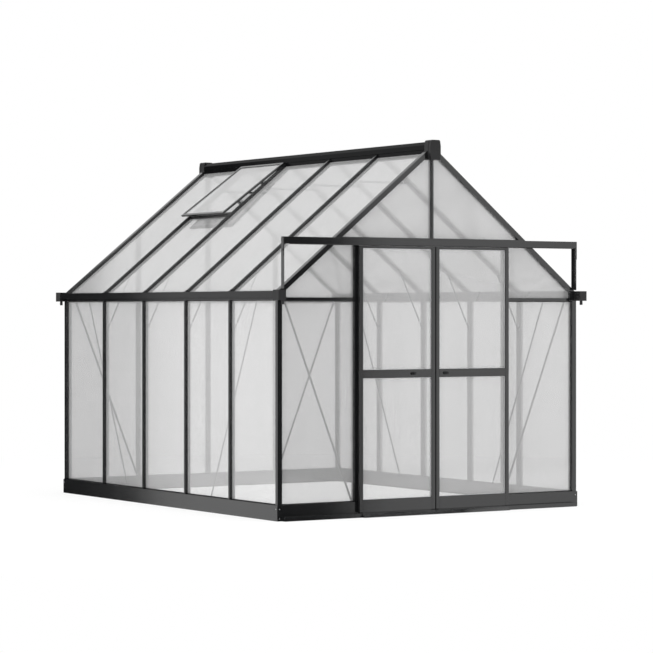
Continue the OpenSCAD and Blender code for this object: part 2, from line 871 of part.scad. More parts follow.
base_front();
base_back();
base_left();
base_right();
bottom_track();
threshold_ramp();
corner_posts();
left_posts();
right_posts();
door_posts();
back_posts();
left_eave_beam();
right_eave_beam();
left_gutter();
right_gutter();
gutter_ends();
ridge_beam();
ridge_caps();
gable_rafters();
left_rafters();
right_rafters();
gable_rails();
transom();
gable_post();
door_track();
track_struts();
track_brackets();
left_wall_panels();
right_wall_panels();
front_wall_panels();
back_wall_panels();
front_gable_panels();
back_gable_panels();
left_roof_panels();
right_roof_panels();
side_braces();
gable_braces();
knee_braces();
collar_ties();
vent_frame();
vent_panel();
vent_sill();
vent_stay();
door_left_stiles();
door_left_rails();
door_left_panels();
door_left_hangers();
door_left_latch();
door_right_stiles();
door_right_rails();
door_right_panels();
door_right_hangers();
door_right_latch();
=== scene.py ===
"""Looks of a walk-in greenhouse: dark powder-coated bars, twin-wall sheets and sliding double doors."""
import logging
import math
from collections.abc import Iterable, Sequence
from dataclasses import dataclass, field
from enum import Enum

import bmesh
import bpy
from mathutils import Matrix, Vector


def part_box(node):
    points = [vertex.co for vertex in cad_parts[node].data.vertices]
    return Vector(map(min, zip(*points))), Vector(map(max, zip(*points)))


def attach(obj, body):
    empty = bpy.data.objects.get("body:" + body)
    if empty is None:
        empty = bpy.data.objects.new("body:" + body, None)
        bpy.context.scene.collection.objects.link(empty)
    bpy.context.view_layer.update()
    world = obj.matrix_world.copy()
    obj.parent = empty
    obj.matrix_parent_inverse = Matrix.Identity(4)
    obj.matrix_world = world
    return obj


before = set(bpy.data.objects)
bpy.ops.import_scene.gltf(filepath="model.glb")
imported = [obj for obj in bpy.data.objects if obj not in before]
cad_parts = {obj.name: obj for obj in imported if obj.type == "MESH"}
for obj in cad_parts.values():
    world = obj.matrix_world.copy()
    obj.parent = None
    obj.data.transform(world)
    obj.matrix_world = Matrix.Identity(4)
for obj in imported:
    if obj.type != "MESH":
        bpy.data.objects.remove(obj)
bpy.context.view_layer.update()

LOG = logging.getLogger("greenhouse")
MM = 0.001
WELD = 0.01 * MM
FLAT_ANGLE, SHARP_ANGLE = math.radians(0.5), math.radians(35)
Colour = tuple[float, float, float]
Socket = bpy.types.NodeSocket
X, Y, Z = Vector((1, 0, 0)), Vector((0, 1, 0)), Vector((0, 0, 1))


class Body(Enum):
    """The bodies that pieces ride on."""

    FRAME = "frame"
    LEFT_LEAF = "left_leaf"
    RIGHT_LEAF = "right_leaf"


class Slot(Enum):
    """Names of material slots for the added pieces; nothing reads them."""

    FRAME = "frame"
    SHEET = "sheet"
    MOULDING = "moulding"
    METAL = "metal"


class FluteRun(Enum):
    """Which way the flutes inside a sheet run."""

    UPRIGHT = "upright"
    DOWN_SLOPE = "down the slope"


class Wiring:
    """Adds nodes to one node tree and joins them."""

    def __init__(self, tree: bpy.types.NodeTree) -> None:
        """Keeps the tree and empties it."""
        self.tree = tree
        tree.nodes.clear()

    def add(self, kind: str, inputs: dict | None = None, **settings: object) -> bpy.types.Node:
        """Adds one node.

        Args:
            kind: The node's type name.
            inputs: Values by input name or number. A socket is linked, and anything else is set.
            settings: The node's own properties.

        Returns:
            The new node.
        """
        node = self.tree.nodes.new(kind)
        for key, value in settings.items():
            setattr(node, key, value)
        for key, value in (inputs or {}).items():
            if isinstance(value, Socket):
                self.tree.links.new(value, node.inputs[key])
            else:
                node.inputs[key].default_value = value
        return node

    def math(self, operation: str, *values: object) -> Socket:
        """The result of one arithmetic step on numbers or sockets."""
        return self.add("ShaderNodeMath", dict(enumerate(values)), operation=operation).outputs[0]

    def spread(self, value: Socket, low: float, high: float) -> Socket:
        """A socket that runs from 0 to 1, spread from low to high."""
        return self.add("ShaderNodeMapRange", {"Value": value, "To Min": low, "To Max": high}).outputs[0]

    def noise(self, place: Socket, size: float, detail: float = 2.0) -> Socket:
        """Noise from 0 to 1 with features about as large as size, in metres."""
        inputs = {"Vector": place, "Scale": 1 / size, "Detail": detail}
        return self.add("ShaderNodeTexNoise", inputs).outputs[0]

    def tones(self, factor: Socket, dark: Colour, light: Colour) -> Socket:
        """A colour between two tones."""
        inputs = {0: factor, 6: (*dark, 1.0), 7: (*light, 1.0)}
        return self.add("ShaderNodeMix", inputs, data_type="RGBA").outputs[2]

    def bump(self, height: Socket, depth: float) -> Socket:
        """A normal raised by a height from 0 to 1, times a depth in metres."""
        return self.add("ShaderNodeBump", {"Height": height, "Distance": depth}).outputs[0]


def new_material(name: str) -> tuple[bpy.types.Material, Wiring]:
    """A material with an empty node tree.

    Args:
        name: Its name.

    Returns:
        The material and the wiring of its tree.
    """
    made = bpy.data.materials.new(name)
    made.use_nodes = True
    return made, Wiring(made.node_tree)


@dataclass(frozen=True)
class Finish:
    """A finish whose tone and gloss drift a little over the surface."""

    name: str
    tone: Colour
    drift: float = 0.14
    drift_size: float = 0.5
    rough: tuple[float, float] = (0.3, 0.4)
    grain_size: float = 0.001
    grain_depth: float = 0.00002
    ior: float = 1.5

    def tone_ends(self) -> tuple[Colour, Colour]:
        """The darkest and the lightest tone of the surface."""
        return tuple(tuple(channel * (1 + way * self.drift) for channel in self.tone) for way in (-1, 1))

    def shade(self, wiring: Wiring, place: Socket) -> dict:
        """The inputs of this finish's shader.

        Args:
            wiring: The material's tree.
            place: Object coordinates.

        Returns:
            Shader inputs by name.
        """
        drift = wiring.noise(place, self.drift_size, 3.0)
        fine = wiring.noise(place, self.grain_size)
        return {
            "Base Color": wiring.tones(drift, *self.tone_ends()),
            "Roughness": wiring.spread(wiring.noise(place, self.drift_size / 3), *self.rough),
            "IOR": self.ior,
            "Normal": wiring.bump(fine, self.grain_depth),
        }

    def material(self) -> bpy.types.Material:
        """Wires the finish up.

        Returns:
            The finish as a Blender material.
        """
        made, wiring = new_material(self.name)
        place = wiring.add("ShaderNodeTexCoord").outputs["Object"]
        shader = wiring.add("ShaderNodeBsdfPrincipled", self.shade(wiring, place))
        wiring.add("ShaderNodeOutputMaterial", {"Surface": shader.outputs[0]})
        return made


@dataclass(frozen=True)
class PowderCoat(Finish):
    """Powder-coated aluminium, with an orange-peel skin."""

    gloss: float = 0.5
    peel_size: float = 3.0
    fine_share: float = 0.4

    def shade(self, wiring: Wiring, place: Socket) -> dict:
        """Adds the orange peel to the plain finish.

        Args:
            wiring: The material's tree.
            place: Object coordinates.

        Returns:
            Shader inputs by name.
        """
        inputs = super().shade(wiring, place)
        cells = {"Vector": place, "Scale": 1 / (self.peel_size * self.grain_size)}
        peel = wiring.add("ShaderNodeTexVoronoi", cells, feature="SMOOTH_F1").outputs[0]
        both = wiring.math("MULTIPLY_ADD", wiring.noise(place, self.grain_size), self.fine_share, peel)
        inputs["Normal"] = wiring.bump(both, self.grain_depth)
        inputs["Specular IOR Level"] = self.gloss
        return inputs


@dataclass(frozen=True)
class Moulding(Finish):
    """Injection-moulded plastic with a fine spark-eroded grain."""

    def shade(self, wiring: Wiring, place: Socket) -> dict:
        """Adds a pitted grain to the plain finish.

        Args:
            wiring: The material's tree.
            place: Object coordinates.

        Returns:
            Shader inputs by name.
        """
        inputs = super().shade(wiring, place)
        pits = wiring.add("ShaderNodeTexVoronoi", {"Vector": place, "Scale": 1 / self.grain_size}).outputs[0]
        inputs["Normal"] = wiring.bump(pits, self.grain_depth)
        return inputs


@dataclass(frozen=True)
class BareMetal(Finish):
    """Plated steel with the fine lines that turning and rolling leave."""

    stretch: float = 18.0

    def shade(self, wiring: Wiring, place: Socket) -> dict:
        """Turns the plain finish to metal and draws its grain out.

        Args:
            wiring: The material's tree.
            place: Object coordinates.

        Returns:
            Shader inputs by name.
        """
        inputs = super().shade(wiring, place)
        drawn = wiring.add("ShaderNodeMapping", {"Vector": place, "Scale": (1.0, 1.0, 1 / self.stretch)})
        lines = wiring.noise(drawn.outputs[0], self.grain_size, 4.0)
        inputs["Roughness"] = wiring.spread(lines, *self.rough)
        inputs["Normal"] = wiring.bump(lines, self.grain_depth)
        inputs["Metallic"] = 1.0
        return inputs


@dataclass(frozen=True)
class TwinWall(Finish):
    """Milky twin-wall polycarbonate: part of the light passes each skin, and flutes show as faint lines."""

    run: FluteRun = FluteRun.UPRIGHT
    opacity: float = 0.37
    flute: float = 0.010
    line_share: float = 0.4
    coat_ior: float = 1.9
    coat_rough: float = 0.08

    def stripes(self, wiring: Wiring, place: Socket) -> Socket:
        """Lines from 0 to 1 along the flutes.

        Args:
            wiring: The material's tree.
            place: Object coordinates.

        Returns:
            A socket that rises and falls once a flute.
        """
        axes = wiring.add("ShaderNodeSeparateXYZ", {"Vector": place}).outputs
        across = axes[1]
        if self.run is FluteRun.UPRIGHT:
            across = wiring.math("ADD", axes[0], axes[1])
        wave = wiring.math("SINE", wiring.math("MULTIPLY", across, math.tau / self.flute))
        return wiring.math("MULTIPLY_ADD", wave, 0.5, 0.5)

    def shade(self, wiring: Wiring, place: Socket) -> dict:
        """A see-through skin with lines, clouds and a glossy outer layer.

        Args:
            wiring: The material's tree.
            place: Object coordinates.

        Returns:
            Shader inputs by name.
        """
        inputs = super().shade(wiring, place)
        lines = self.stripes(wiring, place)
        cloud = wiring.noise(place, self.drift_size, 3.0)
        factor = wiring.add("ShaderNodeMix", {0: self.line_share, 2: cloud, 3: lines}).outputs[0]
        inputs["Base Color"] = wiring.tones(factor, *self.tone_ends())
        inputs["Normal"] = wiring.bump(lines, self.grain_depth)
        inputs |= {"Alpha": self.opacity, "Specular IOR Level": 0.8, "Coat Weight": 1.0,
                   "Coat IOR": self.coat_ior, "Coat Roughness": self.coat_rough}
        return inputs


@dataclass(frozen=True)
class Brush(Finish):
    """The woven pile of a draught brush."""

    def shade(self, wiring: Wiring, place: Socket) -> dict:
        """Adds sheen to the plain finish.

        Args:
            wiring: The material's tree.
            place: Object coordinates.

        Returns:
            Shader inputs by name.
        """
        inputs = super().shade(wiring, place)
        inputs["Sheen Weight"] = 0.4
        return inputs


class Finishes:
    """Every finish of the greenhouse, each made once."""

    def __init__(self) -> None:
        """Makes the materials."""
        coat = {"rough": (0.07, 0.12), "grain_size": 0.0012, "grain_depth": 0.00002, "ior": 1.7}
        # darker and darkest are painted-shade tones: darker for the gutters' coat, darkest for the ridge's
        # coat.
        dark, darker, darkest = (0.0098, 0.0101, 0.0106), (0.0090, 0.0093, 0.0098), (0.0056, 0.0058, 0.0061)
        self.coat = PowderCoat("anthracite_powder_coat", dark, **coat).material()
        # The doors' coat is a lighter copy of the anthracite coat: painted light on the leaves.
        self.leaf_lit_coat = PowderCoat("door_coat_painted_light", (0.0106, 0.0109, 0.0114), **coat).material()
        # The base's coat is a slightly darker copy of the anthracite coat: painted shade on the base.
        self.base_shaded_coat = PowderCoat("base_coat_painted_shade", (0.0094, 0.0097, 0.0102), drift_size=0.9,
                                    **coat).material()
        # The gutters' coat is a darker, less glossy copy of the anthracite coat: painted shade on the
        # gutters.
        self.gutter_shaded_coat = PowderCoat("gutter_coat_painted_shade", darker, gloss=0.14, **coat).material()
        # The ridge's coat is the darkest, almost unglossed copy of the anthracite coat: painted shade on the
        # ridge.
        self.ridge_shaded_coat = PowderCoat("ridge_coat_painted_shade", darkest, gloss=0.03, **coat).material()
        self.plastic = Moulding("black_moulding", (0.010, 0.010, 0.0105), rough=(0.38, 0.5),
                                grain_size=0.0006, grain_depth=0.00004).material()
        self.strip = Finish("painted_brace_strip", (0.020, 0.020, 0.021), rough=(0.4, 0.55),
                            grain_size=0.002).material()
        self.zinc = BareMetal("zinc_plated_steel", (0.62, 0.63, 0.65), drift=0.08, drift_size=0.01,
                              rough=(0.25, 0.42), grain_size=0.0005).material()
        self.rubber = Finish("rubber_seal", (0.012, 0.012, 0.012), rough=(0.6, 0.75),
                             grain_size=0.0008, grain_depth=0.00005).material()
        self.lip = Finish("clear_glazing_lip", (0.72, 0.73, 0.74), drift=0.05, rough=(0.2, 0.3)).material()
        self.pile = Brush("brush_pile", (0.03, 0.03, 0.031), rough=(0.8, 0.95),
                          grain_size=0.0004, grain_depth=0.0002).material()
        sheet = {"drift": 0.08, "rough": (0.07, 0.12), "grain_depth": 0.00001, "ior": 1.6}
        self.sheets = {
            FluteRun.UPRIGHT: TwinWall("twin_wall_upright", (0.70, 0.70, 0.70), run=FluteRun.UPRIGHT,
                                       opacity=0.35, **sheet).material(),
            FluteRun.DOWN_SLOPE: TwinWall("twin_wall_down_slope", (0.57, 0.57, 0.57), run=FluteRun.DOWN_SLOPE,
                                          opacity=0.50, **sheet).material(),
        }
        self.webs = TwinWall("flute_webs", (0.66, 0.66, 0.66), drift=0.05, rough=(0.2, 0.3),
                             opacity=0.16, coat_ior=1.5).material()


def up_from(run: Vector) -> Vector:
    """The upward normal of a slope that runs in the XZ plane.

    Args:
        run: The way along the slope.

    Returns:
        The normal, as long as run.
    """
    normal = Vector((-run.z, 0, run.x))
    return normal if normal.z > 0 else -normal


@dataclass
class Solid:
    """One separate solid of a CAD node, by its corner points."""

    points: list[Vector]

    @property
    def low(self) -> Vector:
        """The lowest corner of its box."""
        return Vector(tuple(min(p[i] for p in self.points) for i in range(3)))

    @property
    def high(self) -> Vector:
        """The highest corner of its box."""
        return Vector(tuple(max(p[i] for p in self.points) for i in range(3)))

    @property
    def middle(self) -> Vector:
        """The middle of its box."""
        return (self.low + self.high) / 2

    def end_middle(self, upper: bool) -> Vector:
        """The middle of its upper or lower half of corners, by height.

        Args:
            upper: True for the upper half.

        Returns:
            The middle of that half.
        """
        ordered = sorted(self.points, key=lambda point: point.z)
        half = len(ordered) // 2
        chosen = ordered[half:] if upper else ordered[:half]
        return sum(chosen, Vector()) / len(chosen)


def solids(node: str) -> list[Solid]:
    """The separate solids of a CAD node.

    Args:
        node: The node's name.

    Returns:
        One entry for each solid, in order of place.
    """
    shape = bmesh.new()
    shape.from_mesh(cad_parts[node].data)
    bmesh.ops.remove_doubles(shape, verts=shape.verts, dist=WELD)
    left, found = set(shape.verts), []
    while left:
        group, edge = [], [left.pop()]
        while edge:
            vert = edge.pop()
            group.append(vert.co.copy())
            for link in vert.link_edges:
                other = link.other_vert(vert)
                if other in left:
                    left.remove(other)
                    edge.append(other)
        found.append(Solid(group))
    shape.free()
    return sorted(found, key=lambda solid: tuple(round(c, 4) for c in solid.middle))


def dress(nodes: Iterable[str], material: bpy.types.Material, edge: float = 0.0) -> None:
    """Gives CAD nodes a finish and, where edge is set, softly rounded edges.

    Args:
        nodes: The nodes' names.
        material: Their finish.
        edge: Radius of the rounded edges, or 0 for sharp ones.
    """
    for name in nodes:
        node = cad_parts[name]
        if not node.material_slots:
            node.data.materials.append(material)
        for place in node.material_slots:
            place.material = material
        if edge:
            weld = node.modifiers.new("weld", "WELD")
            weld.merge_threshold = WELD
            flat = node.modifiers.new("flat_faces", "DECIMATE")
            flat.decimate_type = "DISSOLVE"
            flat.angle_limit = FLAT_ANGLE
            round_edge = node.modifiers.new("round_edges", "BEVEL")
            round_edge.width = edge
            round_edge.segments = 2
            round_edge.limit_method = "ANGLE"
            round_edge.angle_limit = SHARP_ANGLE
            round_edge.use_clamp_overlap = True
    LOG.info("dressed %s with %s", ", ".join(nodes), material.name)


class Shape:
    """A mesh that grows piece by piece, and then rides on a body."""

    def __init__(self) -> None:
        """Starts with nothing."""
        self.mesh = bmesh.new()

    def bar(self, start: Vector, end: Vector, side: Vector, width: float, depth: float) -> None:
        """Adds a bar of rectangular section.

        Args:
            start: Middle of its first end.
            end: Middle of its other end.
            side: The direction of its width.
            width: Its size along side.
            depth: Its size across both.
        """
        along = (end - start).normalized()
        side = (side - along * side.dot(along)).normalized()
        across = along.cross(side)
        ring = [(-1, -1), (1, -1), (1, 1), (-1, 1)]
        ends = [
            [self.mesh.verts.new(at + side * (u * width / 2) + across * (v * depth / 2)) for u, v in ring]
            for at in (start, end)
        ]
        self.mesh.faces.new(ends[0][::-1])
        self.mesh.faces.new(ends[1])
        for i in range(4):
            j = (i + 1) % 4
            self.mesh.faces.new([ends[0][i], ends[0][j], ends[1][j], ends[1][i]])

    def block(self, low: Sequence[float], high: Sequence[float]) -> None:
        """Adds a box.

        Args:
            low: Its low corner.
            high: Its high corner.
        """
        low, high = Vector(low), Vector(high)
        middle = (low + high) / 2
        size = high - low
        self.bar(Vector((middle.x, middle.y, low.z)), Vector((middle.x, middle.y, high.z)), X, size.x, size.y)

    def rod(self, start: Vector, end: Vector, radii: Sequence[float], sides: int = 20) -> None:
        """Adds a round rod whose rings have the given radii, evenly spaced from start to end.

        Args:
            start: Middle of its first end.
            end: Middle of its other end.
            radii: Radius of each ring, two or more.
            sides: Number of flats around it.
        """
        along = (end - start).normalized()
        side = along.orthogonal().normalized()
        across = along.cross(side)
        rings = []
        for i, radius in enumerate(radii):
            middle = start.lerp(end, i / (len(radii) - 1))
            turns = [math.tau * k / sides for k in range(sides)]
            rings.append([self.mesh.verts.new(middle + (side * math.cos(a) + across * math.sin(a)) * radius)
                          for a in turns])
        self.mesh.faces.new(rings[0][::-1])
        self.mesh.faces.new(rings[-1])
        for low, high in zip(rings, rings[1:]):
            for k in range(sides):
                j = (k + 1) % sides
                self.mesh.faces.new([low[k], low[j], high[j], high[k]])

    def piece(self, name: str, material: bpy.types.Material, body: Body, slot: Slot) -> bpy.types.Object:
        """Turns the shape into a piece of the greenhouse.

        Args:
            name: The piece's name.
            material: Its finish.
            body: The body it rides on.
            slot: Not used.

        Returns:
            The new object.
        """
        made = bpy.data.meshes.new(name)
        self.mesh.to_mesh(made)
        self.mesh.free()
        made.materials.append(material)
        return settle(name, made, body)


def settle(name: str, mesh: bpy.types.Mesh, body: Body) -> bpy.types.Object:
    """Puts a finished mesh in the scene, riding on a body.

    Args:
        name: The piece's name.
        mesh: Its mesh, in the frame's own metres.
        body: The body it rides on.

    Returns:
        The new object.
    """
    made = bpy.data.objects.new(name, mesh)
    bpy.context.scene.collection.objects.link(made)
    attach(made, body.value)
    LOG.info("%s: %d faces on %s", name, len(mesh.polygons), body.value)
    return made


class GrowTree:
    """A geometry node tree with named inputs, run on a carrier mesh to make a plain mesh."""

    def __init__(self, name: str, inputs: dict[str, tuple[str, object]]) -> None:
        """Makes the tree's sockets.

        Args:
            name: The tree's name.
            inputs: Each input's socket type and value, by name.
        """
        self.tree = bpy.data.node_groups.new(name, "GeometryNodeTree")
        sockets = self.tree.interface
        sockets.new_socket("Geometry", in_out="INPUT", socket_type="NodeSocketGeometry")
        self.keys = {}
        for label, (kind, value) in inputs.items():
            socket = sockets.new_socket(label, in_out="INPUT", socket_type="NodeSocket" + kind)
            self.keys[label] = socket.identifier
            if value is not None:
                socket.default_value = value
        sockets.new_socket("Geometry", in_out="OUTPUT", socket_type="NodeSocketGeometry")
        self.wiring = Wiring(self.tree)
        self.given = self.wiring.add("NodeGroupInput").outputs
        self.wire()

    def wire(self) -> None:
        """Joins the tree's nodes; each kind of tree has its own."""
        raise NotImplementedError

    def cone(self, sides: object, foot: object, top: object, height: object) -> Socket:
        """A closed cone with a flat top, whose sizes are numbers or sockets."""
        sizes = {"Vertices": sides, "Radius Bottom": foot, "Radius Top": top, "Depth": height}
        return self.wiring.add("GeometryNodeMeshCone", sizes, fill_type="NGON").outputs[0]

    def finish(self, instances: Socket) -> None:
        """Ends the tree with real geometry in its material.

        Args:
            instances: The geometry that the tree has made.
        """
        real = self.wiring.add("GeometryNodeRealizeInstances", {"Geometry": instances})
        inputs = {"Geometry": real.outputs[0], "Material": self.given["Material"]}
        dressed = self.wiring.add("GeometryNodeSetMaterial", inputs)
        self.wiring.add("NodeGroupOutput", {"Geometry": dressed.outputs[0]})

    def grow(self, values: dict[str, object], carrier: bpy.types.Mesh | None = None) -> bpy.types.Mesh:
        """Runs the tree once.

        Args:
            values: The inputs that differ from the tree's own values.
            carrier: The mesh it works on, or None for an empty one.

        Returns:
            A plain mesh.
        """
        mesh = carrier or bpy.data.meshes.new("carrier")
        holder = bpy.data.objects.new("carrier", mesh)
        bpy.context.scene.collection.objects.link(holder)
        modifier = holder.modifiers.new("grow", "NODES")
        modifier.node_group = self.tree
        for label, value in values.items():
            modifier[self.keys[label]] = value
        evaluated = holder.evaluated_get(bpy.context.evaluated_depsgraph_get())
        made = bpy.data.meshes.new_from_object(evaluated)
        holder.modifiers.remove(modifier)
        bpy.data.objects.remove(holder)
        bpy.data.meshes.remove(mesh)
        return made


class WebTree(GrowTree):
    """A row of thin webs, whose length may change evenly along the row."""

    SHORTEST = 4 * MM

    def __init__(self) -> None:
        """Names the row's sizes."""
        super().__init__("web_row", {
            "Count": ("Int", 10),
            "Start": ("Vector", (0.0, 0.0, 0.0)),
            "Step": ("Vector", (0.01, 0.0, 0.0)),
            "Section": ("Vector", (0.0004, 0.0032, 0.0)),
            "Turn": ("Vector", (0.0, 0.0, 0.0)),
            "First Length": ("Float", 1.0),
            "Length Change": ("Float", 0.0),
            "Longest": ("Float", 10.0),
            "Material": ("Material", None),
        })

    def wire(self) -> None:
        """Stands one web on each point of a line."""
        w, given = self.wiring, self.given
        line = w.add("GeometryNodeMeshLine", {"Count": given["Count"], "Start Location": given["Start"],
                                              "Offset": given["Step"]}, mode="OFFSET")
        index = w.add("GeometryNodeInputIndex").outputs[0]
        grown = w.math("MULTIPLY_ADD", index, given["Length Change"], given["First Length"])
        length = w.math("MINIMUM", grown, given["Longest"])
        cube = w.add("GeometryNodeMeshCube", {"Size": (1.0, 1.0, 1.0)})
        stood = w.add("GeometryNodeTransform", {"Geometry": cube.outputs[0], "Translation": (0.0, 0.0, 0.5)})
        section = w.add("ShaderNodeSeparateXYZ", {"Vector": given["Section"]}).outputs
        scale = w.add("ShaderNodeCombineXYZ", {"X": section[0], "Y": section[1], "Z": length}).outputs[0]
        row = w.add("GeometryNodeInstanceOnPoints", {
            "Points": line.outputs[0], "Selection": w.math("GREATER_THAN", length, self.SHORTEST),
            "Instance": stood.outputs[0], "Rotation": given["Turn"], "Scale": scale})
        self.finish(row.outputs[0])


class HeadTree(GrowTree):
    """Screw or bolt heads on the points of a carrier, each aimed along its own direction."""

    SKIRT_HEIGHT = 0.55
    SKIRT_TOP = 0.94
    DOME_TOP = 0.55
    WASHER_HEIGHT = 0.25
    WASHER_SIDES = 20

    def __init__(self) -> None:
        """Names a head's sizes."""
        super().__init__("fixing_heads", {
            "Radius": ("Float", 0.004),
            "Height": ("Float", 0.002),
            "Washer Radius": ("Float", 0.0),
            "Sides": ("Int", 16),
            "Material": ("Material", None),
        })

    def wire(self) -> None:
        """Builds a domed head on a washer and puts it on each point."""
        w, given = self.wiring, self.given
        height, radius = given["Height"], given["Radius"]
        low = w.math("MULTIPLY", height, self.SKIRT_HEIGHT)
        waist = w.math("MULTIPLY", radius, self.SKIRT_TOP)
        skirt = self.cone(given["Sides"], radius, waist, low)
        dome = self.cone(given["Sides"], waist, w.math("MULTIPLY", radius, self.DOME_TOP),
                         w.math("MULTIPLY", height, 1 - self.SKIRT_HEIGHT))
        lift = w.add("ShaderNodeCombineXYZ", {"Z": low}).outputs[0]
        raised = w.add("GeometryNodeTransform", {"Geometry": dome, "Translation": lift}).outputs[0]
        washer = self.cone(self.WASHER_SIDES, given["Washer Radius"], given["Washer Radius"],
                           w.math("MULTIPLY", height, self.WASHER_HEIGHT))
        head = w.add("GeometryNodeJoinGeometry")
        for part in (skirt, raised, washer):
            w.tree.links.new(part, head.inputs[0])
        aim = w.add("GeometryNodeInputNamedAttribute", {"Name": "aim"}, data_type="FLOAT_VECTOR").outputs[0]
        turn = w.add("FunctionNodeAlignRotationToVector", {"Vector": aim}, axis="Z").outputs[0]
        placed = w.add("GeometryNodeInstanceOnPoints", {
            "Points": given["Geometry"], "Instance": head.outputs[0], "Rotation": turn})
        self.finish(placed.outputs[0])


class TuftTree(GrowTree):
    """A row of short tufts that lean a little at random."""

    TUFT_SIDES = 5
    TIP = 0.5

    def __init__(self) -> None:
        """Names the row's sizes and its seed."""
        super().__init__("brush_tufts", {
            "Count": ("Int", 100),
            "Start": ("Vector", (0.0, 0.0, 0.0)),
            "Spacing": ("Float", 0.003),
            "Turn": ("Vector", (0.0, 0.0, 0.0)),
            "Length": ("Float", 0.003),
            "Thickness": ("Float", 0.0011),
            "Lean": ("Float", 0.22),
            "Seed": ("Int", 7),
            "Material": ("Material", None),
        })

    def wire(self) -> None:
        """Puts a leaning tuft on each point of an upright line."""
        w, given = self.wiring, self.given
        step = w.add("ShaderNodeCombineXYZ", {"Z": given["Spacing"]}).outputs[0]
        line = w.add("GeometryNodeMeshLine", {"Count": given["Count"], "Start Location": given["Start"],
                                              "Offset": step}, mode="OFFSET")
        thickness = given["Thickness"]
        tuft = self.cone(self.TUFT_SIDES, thickness, w.math("MULTIPLY", thickness, self.TIP), given["Length"])
        ways = {0: (-1.0, -1.0, 0.0), 1: (1.0, 1.0, 0.0), "Seed": given["Seed"]}
        lean = w.add("FunctionNodeRandomValue", ways, data_type="FLOAT_VECTOR").outputs[0]
        scaled = w.add("ShaderNodeVectorMath", {0: lean, "Scale": given["Lean"]}, operation="SCALE")
        turned = w.add("ShaderNodeVectorMath", {0: scaled.outputs[0], 1: given["Turn"]}, operation="ADD")
        row = w.add("GeometryNodeInstanceOnPoints", {
            "Points": line.outputs[0], "Instance": tuft, "Rotation": turned.outputs[0]})
        self.finish(row.outputs[0])


def merged(meshes: Sequence[bpy.types.Mesh], name: str) -> bpy.types.Mesh:
    """One mesh from several of the same finish.

    Args:
        meshes: The meshes, which are used up.
        name: The new mesh's name.

    Returns:
        The joined mesh.
    """
    joined = bmesh.new()
    for mesh in meshes:
        joined.from_mesh(mesh)
    made = bpy.data.meshes.new(name)
    joined.to_mesh(made)
    joined.free()
    for material in meshes[0].materials:
        made.materials.append(material)
    for mesh in meshes:
        bpy.data.meshes.remove(mesh)
    return made


@dataclass(frozen=True)
class Fixing:
    """Where a screw or bolt sits, and the way its head faces."""

    place: Vector
    aim: Vector


@dataclass(frozen=True)
class HeadSize:
    """The size of a screw or bolt head."""

    radius: float
    height: float
    washer: float = 0.0
    sides: int = 16


@dataclass
class FixingSet:
    """Screws or bolts of one size and finish."""

    tree: HeadTree
    material: bpy.types.Material
    size: HeadSize

    def drive(self, name: str, fixings: Sequence[Fixing], body: Body) -> None:
        """Makes the heads of one row of fixings.

        Args:
            name: The piece's name.
            fixings: Where the heads sit.
            body: The body they ride on.
        """
        carrier = bpy.data.meshes.new(name + "_points")
        carrier.from_pydata([f.place for f in fixings], [], [])
        aims = carrier.attributes.new("aim", "FLOAT_VECTOR", "POINT")
        aims.data.foreach_set("vector", [c for f in fixings for c in f.aim])
        sizes = {"Radius": self.size.radius, "Height": self.size.height, "Washer Radius": self.size.washer,
                 "Sides": self.size.sides, "Material": self.material}
        settle(name, self.tree.grow(sizes, carrier), body)


@dataclass
class BaseFrame:
    """The base channel, the bottom track and the ramp in front of the doors."""

    finishes: Finishes
    heads: HeadTree
    edge: float = 0.6 * MM
    corner_screw: HeadSize = HeadSize(3.6 * MM, 1.8 * MM)
    screw_in: float = 17 * MM
    screw_heights: tuple[float, float] = (17 * MM, 78 * MM)
    cleat: float = 44 * MM
    cleat_wall: float = 3 * MM
    cleat_height: float = 80 * MM
    cleat_middle: float = 52 * MM
    cleat_gap: float = 0.2 * MM
    channel_wall: float = 2.5 * MM
    track_screw: HeadSize = HeadSize(3.5 * MM, 1 * MM)
    track_screws: int = 7
    groove_floor: float = 4.1 * MM

    def build(self) -> None:
        """Dresses the channels and adds screws, cleats and track fixings."""
        # The base channels and cleats take the darker copy of the anthracite coat, which is painted shade.
        dress(["base_front", "base_back", "base_left", "base_right"], self.finishes.base_shaded_coat, self.edge)
        dress(["bottom_track", "threshold_ramp"], self.finishes.coat, self.edge)
        self.corner_screws()
        self.cleats()
        self.track_fixings()

    def corner_screws(self) -> None:
        """Two screws on each gable face and one on each side face, at every corner."""
        low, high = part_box("base_left")[0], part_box("base_right")[1]
        fixings = []
        for sx, x in ((-1, low.x), (1, high.x)):
            for sy, y in ((-1, low.y), (1, high.y)):
                for z in self.screw_heights:
                    fixings.append(Fixing(Vector((x - sx * self.screw_in, y, z)), Y * sy))
                fixings.append(Fixing(Vector((x, y - sy * self.screw_in, self.screw_heights[1])), X * sx))
        FixingSet(self.heads, self.finishes.zinc, self.corner_screw).drive(
            "base_corner_screws", fixings, Body.FRAME)

    def cleats(self) -> None:
        """An angle plate inside each corner of the base."""
        low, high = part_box("base_left")[0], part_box("base_right")[1]
        shape = Shape()
        inset = self.channel_wall + self.cleat_wall / 2 + self.cleat_gap
        for sx, x in ((1, low.x), (-1, high.x)):
            for sy, y in ((1, low.y), (-1, high.y)):
                start = Vector((x + sx * inset, y + sy * inset, self.cleat_middle))
                for along in (X * sx, Y * sy):
                    shape.bar(start, start + along * self.cleat, Z, self.cleat_height, self.cleat_wall)
        shape.piece("base_corner_cleats", self.finishes.base_shaded_coat, Body.FRAME, Slot.FRAME)

    def track_fixings(self) -> None:
        """Countersunk screws along the bottom track's groove."""
        low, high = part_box("bottom_track")
        middle = sum(corner.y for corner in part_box("door_right_panels")) / 2
        step = (high.x - low.x) / self.track_screws
        fixings = [Fixing(Vector((low.x + step * (i + 0.5), middle, self.groove_floor)), Z)
                   for i in range(self.track_screws)]
        FixingSet(self.heads, self.finishes.zinc, self.track_screw).drive(
            "bottom_track_screws", fixings, Body.FRAME)


